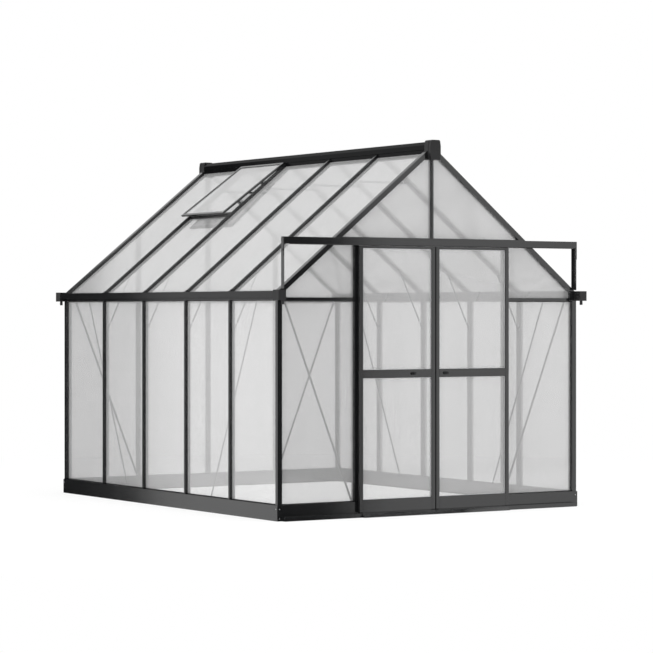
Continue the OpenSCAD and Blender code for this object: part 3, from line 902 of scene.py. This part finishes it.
@dataclass
class WallFrame:
    """Posts, eave beams, rails and braces of the walls and gables."""

    finishes: Finishes
    heads: HeadTree
    edge: float = 0.9 * MM
    brace_bolt: HeadSize = HeadSize(5 * MM, 3.5 * MM, 7 * MM, 6)
    brace_bolt_in: float = 16 * MM
    knee_bolt_share: float = 0.12

    def build(self) -> None:
        """Dresses the bars and braces and bolts the braces on."""
        dress(["corner_posts", "left_posts", "right_posts", "door_posts", "back_posts", "left_eave_beam",
               "right_eave_beam", "gable_rails", "transom", "gable_post"], self.finishes.coat, self.edge)
        dress(["side_braces", "gable_braces", "knee_braces", "collar_ties"], self.finishes.strip)
        fixings = [*self.cross_bolts("side_braces", 0), *self.cross_bolts("gable_braces", 1)]
        for solid in solids("knee_braces"):
            foot = solid.end_middle(False).lerp(solid.end_middle(True), self.knee_bolt_share)
            fixings.append(Fixing(Vector((foot.x, solid.low.y, foot.z)), -Y))
        for solid in solids("collar_ties"):
            for side in (-1, 1):
                x = side * (solid.high.x - 2 * self.brace_bolt_in)
                fixings.append(Fixing(Vector((x, solid.low.y, solid.middle.z)), -Y))
        FixingSet(self.heads, self.finishes.zinc, self.brace_bolt).drive(
            "brace_bolts", fixings, Body.FRAME)

    def cross_bolts(self, node: str, axis: int) -> list[Fixing]:
        """A bolt with a washer at both ends of each cross brace, on its inner face.

        Args:
            node: The braces' node.
            axis: The axis across their wall, 0 for X and 1 for Y.

        Returns:
            The bolts, two a brace.
        """
        fixings = []
        for solid in solids(node):
            outward = math.copysign(1, solid.middle[axis])
            face = solid.low if outward > 0 else solid.high
            for upper in (False, True):
                end, other = solid.end_middle(upper), solid.end_middle(not upper)
                place = end + (other - end).normalized() * self.brace_bolt_in
                place[axis] = face[axis]
                fixings.append(Fixing(place, (X, Y)[axis] * -outward))
        return fixings


@dataclass
class RoofFrame:
    """Rafters, with a moulded cap on the foot of each middle one."""

    finishes: Finishes
    edge: float = 0.9 * MM
    cap_wall: float = 1.8 * MM
    cap_length: float = 30 * MM
    cap_edge: float = 1.5 * MM
    rib_width: float = 16 * MM
    rib_depth: float = 20 * MM

    def build(self) -> None:
        """Dresses the rafters and caps their feet."""
        dress(["gable_rafters", "left_rafters", "right_rafters"], self.finishes.coat, self.edge)
        shape = Shape()
        for node, side in (("left_rafters", -1), ("right_rafters", 1)):
            for solid in solids(node):
                inner, outer = sorted((abs(solid.low.x), abs(solid.high.x)))
                foot = Vector((side * outer, solid.middle.y, 0))
                foot.z = max(p.z for p in solid.points if abs(abs(p.x) - outer) < MM)
                head = Vector((side * inner, solid.middle.y, solid.high.z))
                run = (head - foot).normalized()
                start = foot - up_from(run) * (self.rib_depth / 2 - self.cap_wall / 2)
                shape.bar(start, start + run * self.cap_length, Y, self.rib_width + 2 * self.cap_wall,
                          self.rib_depth + self.cap_wall)
        caps = shape.piece("rafter_foot_caps", self.finishes.plastic, Body.FRAME, Slot.MOULDING)
        soften(caps, self.cap_edge)


def soften(piece: bpy.types.Object, radius: float, segments: int = 3) -> None:
    """Rounds the edges of a new piece.

    Args:
        piece: The piece's object.
        radius: Radius of the rounded edges.
        segments: Flats around each edge.
    """
    rounded = piece.modifiers.new("round_edges", "BEVEL")
    rounded.width, rounded.segments = radius, segments
    rounded.limit_method = "ANGLE"


@dataclass
class Ridge:
    """The ridge beam with its cover, and a moulded cap on each end."""

    finishes: Finishes
    heads: HeadTree
    beam_edge: float = 1.2 * MM
    cap_edge: float = 1.6 * MM
    screw: HeadSize = HeadSize(4 * MM, 2 * MM)
    screw_spread: float = 17 * MM

    def build(self) -> None:
        """Dresses the ridge beam and its caps, and screws the caps on."""
        # The ridge beam takes the darkest copy of the anthracite coat, which is painted shade.
        dress(["ridge_beam"], self.finishes.ridge_shaded_coat, self.beam_edge)
        dress(["ridge_caps"], self.finishes.plastic, self.cap_edge)
        fixings = []
        for cap in solids("ridge_caps"):
            side = math.copysign(1, cap.middle.y)
            y = cap.high.y if side > 0 else cap.low.y
            for x in (-self.screw_spread, self.screw_spread):
                fixings.append(Fixing(Vector((x, y, cap.middle.z)), Y * side))
        FixingSet(self.heads, self.finishes.plastic, self.screw).drive(
            "ridge_cap_screws", fixings, Body.FRAME)


@dataclass
class Gutters:
    """The gutters along both eaves, with their end boxes and outlet spouts."""

    finishes: Finishes
    edge: float = 0.6 * MM
    end_edge: float = 0.8 * MM
    rim: float = 3.2 * MM
    wall: float = 2.5 * MM
    barb_count: int = 3
    barb_start: float = 3 * MM
    barb_pitch: float = 5 * MM
    barb_height: float = 2.4 * MM
    barb_rise: tuple[float, float, float] = (0.1 * MM, 1.1 * MM, 0.1 * MM)

    def build(self) -> None:
        """Dresses the gutters and adds their rolled rims and the spouts' barbs."""
        # The gutters and their rims take the darker, duller copy of the anthracite coat, which is painted
        # shade.
        dress(["left_gutter", "right_gutter"], self.finishes.gutter_shaded_coat, self.edge)
        dress(["gutter_ends"], self.finishes.plastic, self.end_edge)
        rims, barbs = Shape(), Shape()
        for node, side in (("left_gutter", -1), ("right_gutter", 1)):
            low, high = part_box(node)
            x = (low.x if side < 0 else high.x) - side * (self.wall + self.rim / 2)
            z = high.z - self.rim / 2
            rims.bar(Vector((x, low.y, z)), Vector((x, high.y, z)), X, self.rim, self.rim)
        for box in solids("gutter_ends"):
            spout = [p for p in box.points if p.z < box.low.z + MM]
            centre = sum(spout, Vector()) / len(spout)
            radius = max((p - centre).length for p in spout)
            for i in range(self.barb_count):
                foot = centre + Z * (self.barb_start + self.barb_pitch * i)
                barbs.rod(foot, foot + Z * self.barb_height, [radius + rise for rise in self.barb_rise])
        rims.piece("gutter_rims", self.finishes.gutter_shaded_coat, Body.FRAME, Slot.FRAME)
        barbs.piece("spout_barbs", self.finishes.plastic, Body.FRAME, Slot.MOULDING)


@dataclass
class Glazing:
    """The twin-wall sheets of the walls and roof: their flute webs and the seals that hold them."""

    finishes: Finishes
    webs: WebTree
    pitch_line: float = 10 * MM
    web_thickness: float = 0.4 * MM
    web_depth: float = 3.2 * MM
    web_short: float = 3 * MM
    lip_width: float = 1.8 * MM
    lip_depth: float = 1.4 * MM
    lip_end: float = 4 * MM
    bar_overlap: float = 4.7 * MM
    seal_height: float = 5 * MM
    half_sheet: float = 2 * MM
    sheet_rise: float = 5.2 * MM
    grown: list[bpy.types.Mesh] = field(default_factory=list)

    def build(self) -> None:
        """Dresses the sheets and adds their webs and seals."""
        upright, sloped = (self.finishes.sheets[run] for run in (FluteRun.UPRIGHT, FluteRun.DOWN_SLOPE))
        walls = {"left_wall_panels": X, "right_wall_panels": X, "front_wall_panels": Y, "back_wall_panels": Y}
        gables = ["front_gable_panels", "back_gable_panels"]
        roofs = ["left_roof_panels", "right_roof_panels"]
        dress([*walls, *gables], upright)
        dress(roofs, sloped)
        seals = Shape()
        for node, normal in walls.items():
            sheets = solids(node)
            for sheet in sheets:
                self.upright_webs(sheet, normal)
                self.wall_seals(sheet, sheets, normal, seals)
        for node in gables:
            for sheet in solids(node):
                self.gable_webs(sheet)
        for node in roofs:
            for sheet in solids(node):
                self.slope_webs(sheet)
                self.slope_seals(sheet, seals)
        settle("wall_and_roof_webs", merged(self.grown, "wall_and_roof_webs"), Body.FRAME)
        seals.piece("sheet_seals", self.finishes.rubber, Body.FRAME, Slot.MOULDING)

    def row(self, start: Vector, step: Vector, section: Vector, count: int, length: float,
            change: float = 0.0, longest: float = 10.0, turn: float = 0.0) -> bpy.types.Mesh:
        """One row of webs.

        Args:
            start: Foot of the first web.
            step: Way to the next web.
            section: Size of a web across its length, in X and Y.
            count: Number of webs.
            length: Length of the first web.
            change: Growth of the length from one web to the next.
            longest: Limit of the length.
            turn: Turn of each web about Y.

        Returns:
            The row as a mesh.
        """
        return self.webs.grow({
            "Count": count, "Start": tuple(start), "Step": tuple(step), "Section": tuple(section),
            "Turn": (0.0, turn, 0.0), "First Length": length, "Length Change": change, "Longest": longest,
            "Material": self.finishes.webs})

    def upright_webs(self, sheet: Solid, normal: Vector) -> None:
        """Webs of a plain upright sheet.

        Args:
            sheet: The sheet's solid.
            normal: The axis across the sheet.
        """
        along = Y if normal is X else X
        size = (sheet.high - sheet.low).dot(along)
        count = int(size / self.pitch_line)
        spare = (size - (count - 1) * self.pitch_line) / 2
        start = sheet.middle - along * (size / 2 - spare)
        start.z = sheet.low.z + self.web_short
        section = normal * self.web_depth + along * self.web_thickness
        length = sheet.high.z - sheet.low.z - 2 * self.web_short
        self.grown.append(self.row(start, along * self.pitch_line, section, count, length))

    def gable_webs(self, sheet: Solid) -> None:
        """Webs of a gable sheet, each cut off under the sloping rafter.

        Args:
            sheet: The sheet's solid.
        """
        side = math.copysign(1, sheet.middle.x)
        inner, outer = sorted((abs(sheet.low.x), abs(sheet.high.x)))
        slope = self.slope_of(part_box("right_roof_panels"))
        edge_z = max(p.z for p in sheet.points if abs(abs(p.x) - outer) < MM)
        first = inner + self.pitch_line / 2
        count = int((outer - first) / self.pitch_line) + 1
        reach = edge_z - sheet.low.z + (outer - first) * slope - 2 * self.web_short
        start = Vector((side * first, sheet.middle.y, sheet.low.z + self.web_short))
        section = Vector((self.web_thickness, self.web_depth, 0))
        longest = sheet.high.z - sheet.low.z - 2 * self.web_short
        self.grown.append(self.row(start, X * side * self.pitch_line, section, count, reach,
                                   -self.pitch_line * slope, longest))

    def slope_of(self, box: tuple[Vector, Vector]) -> float:
        """Rise over run of the roof, from the box of its sheets."""
        return (box[1].z - box[0].z - self.sheet_rise) / (box[1].x - box[0].x)

    def slope_webs(self, sheet: Solid) -> None:
        """Webs of a sloping sheet, from its foot to its head.

        Args:
            sheet: The sheet's solid.
        """
        foot, head = sheet.end_middle(False), sheet.end_middle(True)
        run = head - foot
        size = sheet.high.y - sheet.low.y
        count = int(size / self.pitch_line)
        start = foot + run.normalized() * self.web_short
        start.y = sheet.middle.y - (count - 1) * self.pitch_line / 2
        turn = math.atan2(run.x, run.z)
        section = Vector((self.web_depth, self.web_thickness, 0))
        self.grown.append(self.row(start, Y * self.pitch_line, section, count,
                                   run.length - 2 * self.web_short, turn=turn))

    def wall_seals(self, sheet: Solid, row: Sequence[Solid], normal: Vector, seals: Shape) -> None:
        """Seals beside the bars and along the foot and head of one upright sheet.

        Args:
            sheet: The sheet's solid.
            row: All the sheets of its wall.
            normal: The axis across the sheet.
            seals: The shape that takes the seals.
        """
        along = Y if normal is X else X
        outward = math.copysign(1, sheet.middle.dot(normal))
        face = (sheet.high if outward > 0 else sheet.low).dot(normal) + outward * self.lip_depth / 2
        ends = [min(s.low.dot(along) for s in row), max(s.high.dot(along) for s in row)]
        for edge, inward in ((sheet.low.dot(along), 1), (sheet.high.dot(along), -1)):
            over = 0.0 if min(abs(edge - end) for end in ends) < MM else self.bar_overlap
            at = along * (edge + inward * (over + self.lip_width / 2)) + normal * face
            seals.bar(at + Z * sheet.low.z, at + Z * sheet.high.z, along, self.lip_width, self.lip_depth)
        for z in (sheet.low.z + self.seal_height / 2, sheet.high.z - self.seal_height / 2):
            at = normal * face + Z * z
            seals.bar(at + along * (sheet.low.dot(along) + self.bar_overlap),
                      at + along * (sheet.high.dot(along) - self.bar_overlap),
                      Z, self.seal_height, self.lip_depth)

    def slope_seals(self, sheet: Solid, seals: Shape) -> None:
        """Seals beside the rafters, on the outer face of one sloping sheet.

        Args:
            sheet: The sheet's solid.
            seals: The shape that takes the seals.
        """
        foot, head = sheet.end_middle(False), sheet.end_middle(True)
        run = (head - foot).normalized()
        rise = up_from(run) * (self.half_sheet + self.lip_depth / 2)
        side_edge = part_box("left_roof_panels")[1].y
        for y, inward in ((sheet.low.y, 1), (sheet.high.y, -1)):
            over = 0.0 if abs(abs(y) - abs(side_edge)) < MM else self.bar_overlap
            ends = [foot + rise + run * self.lip_end, head + rise - run * self.lip_end]
            for end in ends:
                end.y = y + inward * (over + self.lip_width / 2)
            seals.bar(*ends, Y, self.lip_width, self.lip_depth)


@dataclass
class SlidingDoors:
    """Two leaves that hang from the head track and slide apart."""

    finishes: Finishes
    heads: HeadTree
    webs: Glazing
    tufts: TuftTree
    track_edge: float = 0.8 * MM
    leaf_edge: float = 0.9 * MM
    hanger_edge: float = 0.5 * MM
    latch_edge: float = 1.5 * MM
    lip_width: float = 2.2 * MM
    lip_depth: float = 1.2 * MM
    lip_in: float = 5.4 * MM
    brush_back: tuple[float, float] = (0.8 * MM, 3.4 * MM)
    brush_end: float = 2 * MM
    tuft_root: float = 0.6 * MM
    tuft_end: float = 3 * MM
    tuft_rows: tuple[float, float] = (-1.5 * MM, 1.5 * MM)
    tuft_spacing: float = 3 * MM
    tuft_length: float = 3 * MM
    tuft_seed: int = 7
    joint_screw: HeadSize = HeadSize(3 * MM, 1.2 * MM)
    screw_in: float = 13.5 * MM
    tall_rail: float = 30 * MM
    tall_levels: tuple[float, ...] = (0.3, 0.7)
    low_levels: tuple[float, ...] = (0.5,)
    ridge_size: tuple[float, float, float] = (3 * MM, 5 * MM, 6 * MM)
    ridge_in: float = 2 * MM
    ridge_edge: float = 0.8 * MM
    latch_screw: HeadSize = HeadSize(2.2 * MM, 1 * MM)
    latch_screw_in: float = 5 * MM
    latch_plate: float = 8 * MM
    axle_bolt: HeadSize = HeadSize(4 * MM, 1.6 * MM, sides=6)
    axle_drop: float = 14 * MM
    track_lip_end: float = 40 * MM
    track_lip_gap: float = 0.5 * MM
    stop_length: float = 14 * MM
    stop_half: float = 11 * MM
    stop_gaps: tuple[float, float] = (6 * MM, 4 * MM)
    stop_edge: float = 2 * MM

    def build(self) -> None:
        """Dresses the track and builds both leaves."""
        dress(["door_track", "track_struts", "track_brackets"], self.finishes.coat, self.track_edge)
        for side, body in ((-1, Body.LEFT_LEAF), (1, Body.RIGHT_LEAF)):
            self.leaf(side, body)
        self.end_stops()
        self.track_lip()

    def leaf(self, side: int, body: Body) -> None:
        """Dresses one leaf and adds its webs, lips, brush, screws and latch details.

        Args:
            side: -1 for the left leaf, 1 for the right one.
            body: The leaf's body.
        """
        name = "door_left_" if side < 0 else "door_right_"
        # The leaves take the lighter copy of the anthracite coat, which is painted light.
        dress([name + "stiles", name + "rails"], self.finishes.leaf_lit_coat, self.leaf_edge)
        dress([name + "panels"], self.finishes.sheets[FluteRun.UPRIGHT])
        dress([name + "hangers"], self.finishes.zinc, self.hanger_edge)
        dress([name + "latch"], self.finishes.plastic, self.latch_edge)
        self.webs.grown = []
        lips = Shape()
        for sheet in solids(name + "panels"):
            self.webs.upright_webs(sheet, Y)
            self.sheet_lips(sheet, lips)
        settle(name + "webs", merged(self.webs.grown, name + "webs"), body)
        lips.piece(name + "lips", self.finishes.lip, body, Slot.SHEET)
        self.brush(name, side, body)
        self.joint_screws(name, body)
        self.latch_details(name, body)
        self.hanger_bolts(name, body)

    def sheet_lips(self, sheet: Solid, lips: Shape) -> None:
        """A thin lip all round the visible edge of a leaf's sheet, on its outer face.

        Args:
            sheet: The sheet's solid.
            lips: The shape that takes the lips.
        """
        y = sheet.low.y - self.lip_depth / 2
        low = Vector((sheet.low.x + self.lip_in, y, sheet.low.z + self.lip_in))
        high = Vector((sheet.high.x - self.lip_in, y, sheet.high.z - self.lip_in))
        for x in (low.x + self.lip_width / 2, high.x - self.lip_width / 2):
            lips.bar(Vector((x, y, low.z)), Vector((x, y, high.z)), X, self.lip_width, self.lip_depth)
        for z in (low.z + self.lip_width / 2, high.z - self.lip_width / 2):
            start, end = Vector((low.x + self.lip_width, y, z)), Vector((high.x - self.lip_width, y, z))
            lips.bar(start, end, Z, self.lip_width, self.lip_depth)

    def brush(self, name: str, side: int, body: Body) -> None:
        """The draught brush on the meeting stile's edge.

        Args:
            name: The leaf's prefix.
            side: -1 for the left leaf, 1 for the right one.
            body: The leaf's body.
        """
        low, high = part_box(name + "stiles")
        edge = low.x if side > 0 else high.x
        middle = (low.y + high.y) / 2
        back = edge - side * self.brush_back[0]
        backing = Shape()
        backing.block((min(edge, back), middle - self.brush_back[1], low.z + self.brush_end),
                      (max(edge, back), middle + self.brush_back[1], high.z - self.brush_end))
        backing.piece(name + "brush_back", self.finishes.rubber, body, Slot.MOULDING)
        sizes = {
            "Count": int((high.z - low.z - 2 * self.tuft_end) / self.tuft_spacing),
            "Spacing": self.tuft_spacing, "Turn": (0.0, -side * math.pi / 2, 0.0),
            "Length": self.tuft_length, "Material": self.finishes.pile}
        root = edge - side * self.tuft_root
        rows = [self.tufts.grow(sizes | {"Start": (root, middle + offset, low.z + self.tuft_end),
                                         "Seed": self.tuft_seed + row})
                for row, offset in enumerate(self.tuft_rows)]
        settle(name + "brush", merged(rows, name + "brush"), body)

    def joint_screws(self, name: str, body: Body) -> None:
        """Dark screws on the stiles, where each rail meets them.

        Args:
            name: The leaf's prefix.
            body: The leaf's body.
        """
        low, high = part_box(name + "stiles")
        fixings = []
        for rail in solids(name + "rails"):
            foot = max(rail.low.z, low.z)
            height = rail.high.z - foot
            for level in self.tall_levels if height > self.tall_rail else self.low_levels:
                for x in (low.x + self.screw_in, high.x - self.screw_in):
                    fixings.append(Fixing(Vector((x, low.y, foot + height * level)), -Y))
        FixingSet(self.heads, self.finishes.plastic, self.joint_screw).drive(
            name + "screws", fixings, body)

    def latch_details(self, name: str, body: Body) -> None:
        """A thumb ridge on the latch's knob and the plate's two screws.

        Args:
            name: The leaf's prefix.
            body: The leaf's body.
        """
        low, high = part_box(name + "latch")
        middle = (low + high) / 2
        width, depth, reach = self.ridge_size
        place = Vector((middle.x, low.y + self.ridge_in, middle.z))
        ridge = Shape()
        ridge.bar(place - Z * reach, place + Z * reach, X, width, depth)
        soften(ridge.piece(name + "latch_ridge", self.finishes.plastic, body, Slot.MOULDING), self.ridge_edge)
        ends = (low.x + self.latch_screw_in, high.x - self.latch_screw_in)
        fixings = [Fixing(Vector((x, high.y - self.latch_plate, middle.z)), -Y) for x in ends]
        FixingSet(self.heads, self.finishes.plastic, self.latch_screw).drive(
            name + "latch_screws", fixings, body)

    def hanger_bolts(self, name: str, body: Body) -> None:
        """The axle's bolt head on the front wheel of each hanger.

        Args:
            name: The leaf's prefix.
            body: The leaf's body.
        """
        fixings = [Fixing(Vector((solid.middle.x, solid.low.y, solid.high.z - self.axle_drop)), -Y)
                   for solid in solids(name + "hangers")]
        FixingSet(self.heads, self.finishes.zinc, self.axle_bolt).drive(
            name + "axle_bolts", fixings, body)

    def track_lip(self) -> None:
        """A rubber lip under the head track, in front of the hangers and just above the leaves."""
        track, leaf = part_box("door_track"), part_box("door_left_stiles")
        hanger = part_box("door_left_hangers")
        end, gap = self.track_lip_end, self.track_lip_gap
        shape = Shape()
        shape.block((track[0].x + end, track[0].y + gap, leaf[1].z + gap),
                    (track[1].x - end, hanger[0].y - gap, track[0].z + gap))
        shape.piece("track_lip", self.finishes.rubber, Body.FRAME, Slot.MOULDING)

    def end_stops(self) -> None:
        """A rubber buffer inside each end of the head track."""
        low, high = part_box("door_track")
        middle = (low.y + high.y) / 2
        shape = Shape()
        for x, side in ((low.x, 1), (high.x, -1)):
            inner = x + side * self.stop_length
            shape.block((min(x, inner), middle - self.stop_half, low.z + self.stop_gaps[0]),
                        (max(x, inner), middle + self.stop_half, high.z - self.stop_gaps[1]))
        stops = shape.piece("track_end_stops", self.finishes.rubber, Body.FRAME, Slot.MOULDING)
        soften(stops, self.stop_edge)


@dataclass
class RoofVent:
    """The roof vent beside the ridge, standing a little open on its stay."""

    finishes: Finishes
    heads: HeadTree
    webs: Glazing
    frame_edge: float = 1.2 * MM
    sill_edge: float = 0.9 * MM
    stay_edge: float = 0.5 * MM
    leaf_length: float = 640 * MM
    screw: HeadSize = HeadSize(3 * MM, 1.2 * MM)
    screw_in: float = 11 * MM
    screw_rise: float = 7 * MM

    def build(self) -> None:
        """Dresses the vent and adds its webs and corner screws."""
        dress(["vent_frame"], self.finishes.coat, self.frame_edge)
        dress(["vent_sill"], self.finishes.coat, self.sill_edge)
        dress(["vent_panel"], self.finishes.sheets[FluteRun.DOWN_SLOPE])
        dress(["vent_stay"], self.finishes.zinc, self.stay_edge)
        self.webs.grown = []
        sheet = solids("vent_panel")[0]
        self.webs.slope_webs(sheet)
        settle("vent_webs", merged(self.webs.grown, "vent_webs"), Body.FRAME)
        self.corner_screws(sheet)

    def corner_screws(self, sheet: Solid) -> None:
        """Screws near the vent leaf's four corners, on its outer face.

        Args:
            sheet: The vent's sheet, which gives the leaf's tilt.
        """
        rim = solids("vent_frame")[0]
        foot, head = sheet.end_middle(False), sheet.end_middle(True)
        run = (head - foot).normalized()
        outward = up_from(run)
        half = (rim.high.y - rim.low.y) / 2 - self.screw_in
        length = self.leaf_length / 2 - self.screw_in
        fixings = []
        for along in (-length, length):
            for across in (-half, half):
                place = (head + foot) / 2 + run * along + outward * self.screw_rise
                place.y = sheet.middle.y + across
                fixings.append(Fixing(place, outward))
        FixingSet(self.heads, self.finishes.zinc, self.screw).drive(
            "vent_screws", fixings, Body.FRAME)


@dataclass
class Studio:
    """The floor, the lamps, the dark flags that the gloss mirrors, and the camera."""

    camera_place: Vector = field(default_factory=lambda: Vector((-9.620, -15.309, 1.353)))
    camera_turn: float = -32.49
    lens: float = 138.5
    shift_up: float = -0.0238
    world_level: float = 0.65
    side_level: float = 2.2
    top_level: float = 1.5
    side_lamp: tuple[float, float] = (10.0, 8.0)
    side_distance: float = 8.0
    side_lamp_y: float = -3.0
    side_aim_y: float = -1.0
    top_lamp: tuple[float, float] = (8.0, 8.0)
    top_height: float = 9.0
    floor_half: float = 30.0
    floor_level: float = -0.3 * MM
    floor_tone: float = 0.8
    floor_glow: float = 1.08
    floor_share: float = 0.72
    floor_inner: float = 3.4
    floor_outer: float = 5.5
    front_flag: tuple[float, float, float] = (-22.0, -15.0, 12.7)
    back_flag: tuple[float, float, float] = (22.0, -13.0, 15.0)
    flag_heights: tuple[float, float] = (-8.0, 12.0)

    def build(self) -> None:
        """Sets up the stage."""
        self.camera()
        self.world()
        self.lamps()
        self.floor()
        self.flag("front_flag", *self.front_flag)
        self.flag("back_flag", *self.back_flag)
        scene = bpy.context.scene
        scene.view_settings.view_transform = "Standard"
        scene.cycles.transparent_max_bounces = 32

    def camera(self) -> None:
        """Stands the camera at eye height, level, with a long lens."""
        made = bpy.data.objects.new("camera", bpy.data.cameras.new("camera"))
        made.data.lens = self.lens
        made.data.shift_y = self.shift_up
        made.location = self.camera_place
        made.rotation_euler = (math.pi / 2, 0, math.radians(self.camera_turn))
        bpy.context.scene.collection.objects.link(made)
        bpy.context.scene.camera = made

    @staticmethod
    def seen(wiring: Wiring) -> Socket:
        """Where the floor and the world show white.

        Args:
            wiring: The tree that asks.

        Returns:
            1 for camera, glossy and transmission rays, and 0 for the rest.
        """
        path = wiring.add("ShaderNodeLightPath").outputs
        either = wiring.math("MAXIMUM", path["Is Camera Ray"], path["Is Glossy Ray"])
        return wiring.math("MAXIMUM", either, path["Is Transmission Ray"])

    def world(self) -> None:
        """White where it is seen, and a plain light level elsewhere."""
        made = bpy.data.worlds.new("studio")
        made.use_nodes = True
        bpy.context.scene.world = made
        wiring = Wiring(made.node_tree)
        light = wiring.add("ShaderNodeBackground", {"Strength": self.world_level})
        white = wiring.add("ShaderNodeBackground", {"Color": (1, 1, 1, 1), "Strength": 1.0})
        light.inputs["Color"].default_value = (1, 1, 1, 1)
        shaders = {0: self.seen(wiring), 1: light.outputs[0], 2: white.outputs[0]}
        mix = wiring.add("ShaderNodeMixShader", shaders)
        wiring.add("ShaderNodeOutputWorld", {"Surface": mix.outputs[0]})

    def lamp(self, name: str, place: Vector, aim: Vector, size: tuple[float, float], level: float) -> None:
        """One soft area lamp.

        Args:
            name: Its name.
            place: Its middle.
            aim: The point it faces.
            size: Its width and height.
            level: How bright its face is, where 1 is white.
        """
        data = bpy.data.lights.new(name, "AREA")
        data.shape = "RECTANGLE"
        data.size, data.size_y = size
        data.energy = level * math.pi * size[0] * size[1]
        made = bpy.data.objects.new(name, data)
        made.location = place
        made.rotation_euler = (aim - place).to_track_quat("-Z", "Y").to_euler()
        made.visible_glossy = False
        made.visible_camera = False
        bpy.context.scene.collection.objects.link(made)

    def lamps(self) -> None:
        """A tall lamp on each side and a wide one overhead."""
        height = self.side_lamp[1] / 2
        for name, side in (("left_lamp", -1), ("right_lamp", 1)):
            place = Vector((side * self.side_distance, self.side_lamp_y, height))
            self.lamp(name, place, Vector((0, self.side_aim_y, height)), self.side_lamp, self.side_level)
        self.lamp("top_lamp", Z * self.top_height, Vector(), self.top_lamp, self.top_level)

    @staticmethod
    def card(name: str, corners: Sequence[Sequence[float]], material: bpy.types.Material,
             unseen_by: Sequence[str]) -> None:
        """A flat staged piece.

        Args:
            name: Its name.
            corners: Its four corners, in order.
            material: Its material.
            unseen_by: The kinds of ray that pass it by.
        """
        mesh = bpy.data.meshes.new(name)
        mesh.from_pydata(corners, [], [(0, 1, 2, 3)])
        mesh.materials.append(material)
        made = bpy.data.objects.new(name, mesh)
        bpy.context.scene.collection.objects.link(made)
        for ray in unseen_by:
            setattr(made, "visible_" + ray, False)

    def floor(self) -> None:
        """A pale floor that keeps the shadow and fades to white away from it."""
        material, wiring = new_material("pale_floor")
        place = wiring.add("ShaderNodeTexCoord").outputs["Object"]
        away = wiring.add("ShaderNodeVectorMath", {0: place}, operation="LENGTH").outputs["Value"]
        fade = wiring.add("ShaderNodeMapRange", {"Value": away, "From Min": self.floor_inner,
                                                 "From Max": self.floor_outer}).outputs[0]
        matt = wiring.add("ShaderNodeBsdfDiffuse", {"Color": (*[self.floor_tone] * 3, 1)})
        glow = wiring.add("ShaderNodeEmission", {"Strength": self.floor_glow})
        share = wiring.math("MULTIPLY", self.seen(wiring), self.floor_share)
        near = wiring.add("ShaderNodeMixShader", {0: share, 1: matt.outputs[0], 2: glow.outputs[0]})
        white = wiring.add("ShaderNodeEmission", {"Strength": 1.0})
        far = wiring.math("MULTIPLY", fade, self.seen(wiring))
        mix = wiring.add("ShaderNodeMixShader", {0: far, 1: near.outputs[0], 2: white.outputs[0]})
        wiring.add("ShaderNodeOutputMaterial", {"Surface": mix.outputs[0]})
        half, level = self.floor_half, self.floor_level
        corners = [(x * half, y * half, level) for x, y in ((-1, -1), (1, -1), (1, 1), (-1, 1))]
        self.card("floor", corners, material, ["glossy"])

    def flag(self, name: str, y: float, low_x: float, high_x: float) -> None:
        """A black card that only mirrors show.

        Args:
            name: Its name.
            y: Its place along Y.
            low_x: Its left edge.
            high_x: Its right edge.
        """
        material, wiring = new_material("black_card")
        black = wiring.add("ShaderNodeEmission", {"Color": (0, 0, 0, 1), "Strength": 0.0})
        wiring.add("ShaderNodeOutputMaterial", {"Surface": black.outputs[0]})
        low, high = self.flag_heights
        corners = [(low_x, y, low), (high_x, y, low), (high_x, y, high), (low_x, y, high)]
        self.card(name, corners, material,
                  ["camera", "diffuse", "shadow", "transmission", "volume_scatter"])


def main() -> None:
    """Builds the stage and then each sub-assembly."""
    logging.basicConfig(level=logging.INFO, format="%(name)s: %(message)s")
    Studio().build()
    finishes, heads = Finishes(), HeadTree()
    glazing = Glazing(finishes, WebTree())
    BaseFrame(finishes, heads).build()
    WallFrame(finishes, heads).build()
    RoofFrame(finishes).build()
    Ridge(finishes, heads).build()
    Gutters(finishes).build()
    glazing.build()
    SlidingDoors(finishes, heads, glazing, TuftTree()).build()
    RoofVent(finishes, heads, glazing).build()


if __name__ == "__main__":
    main()
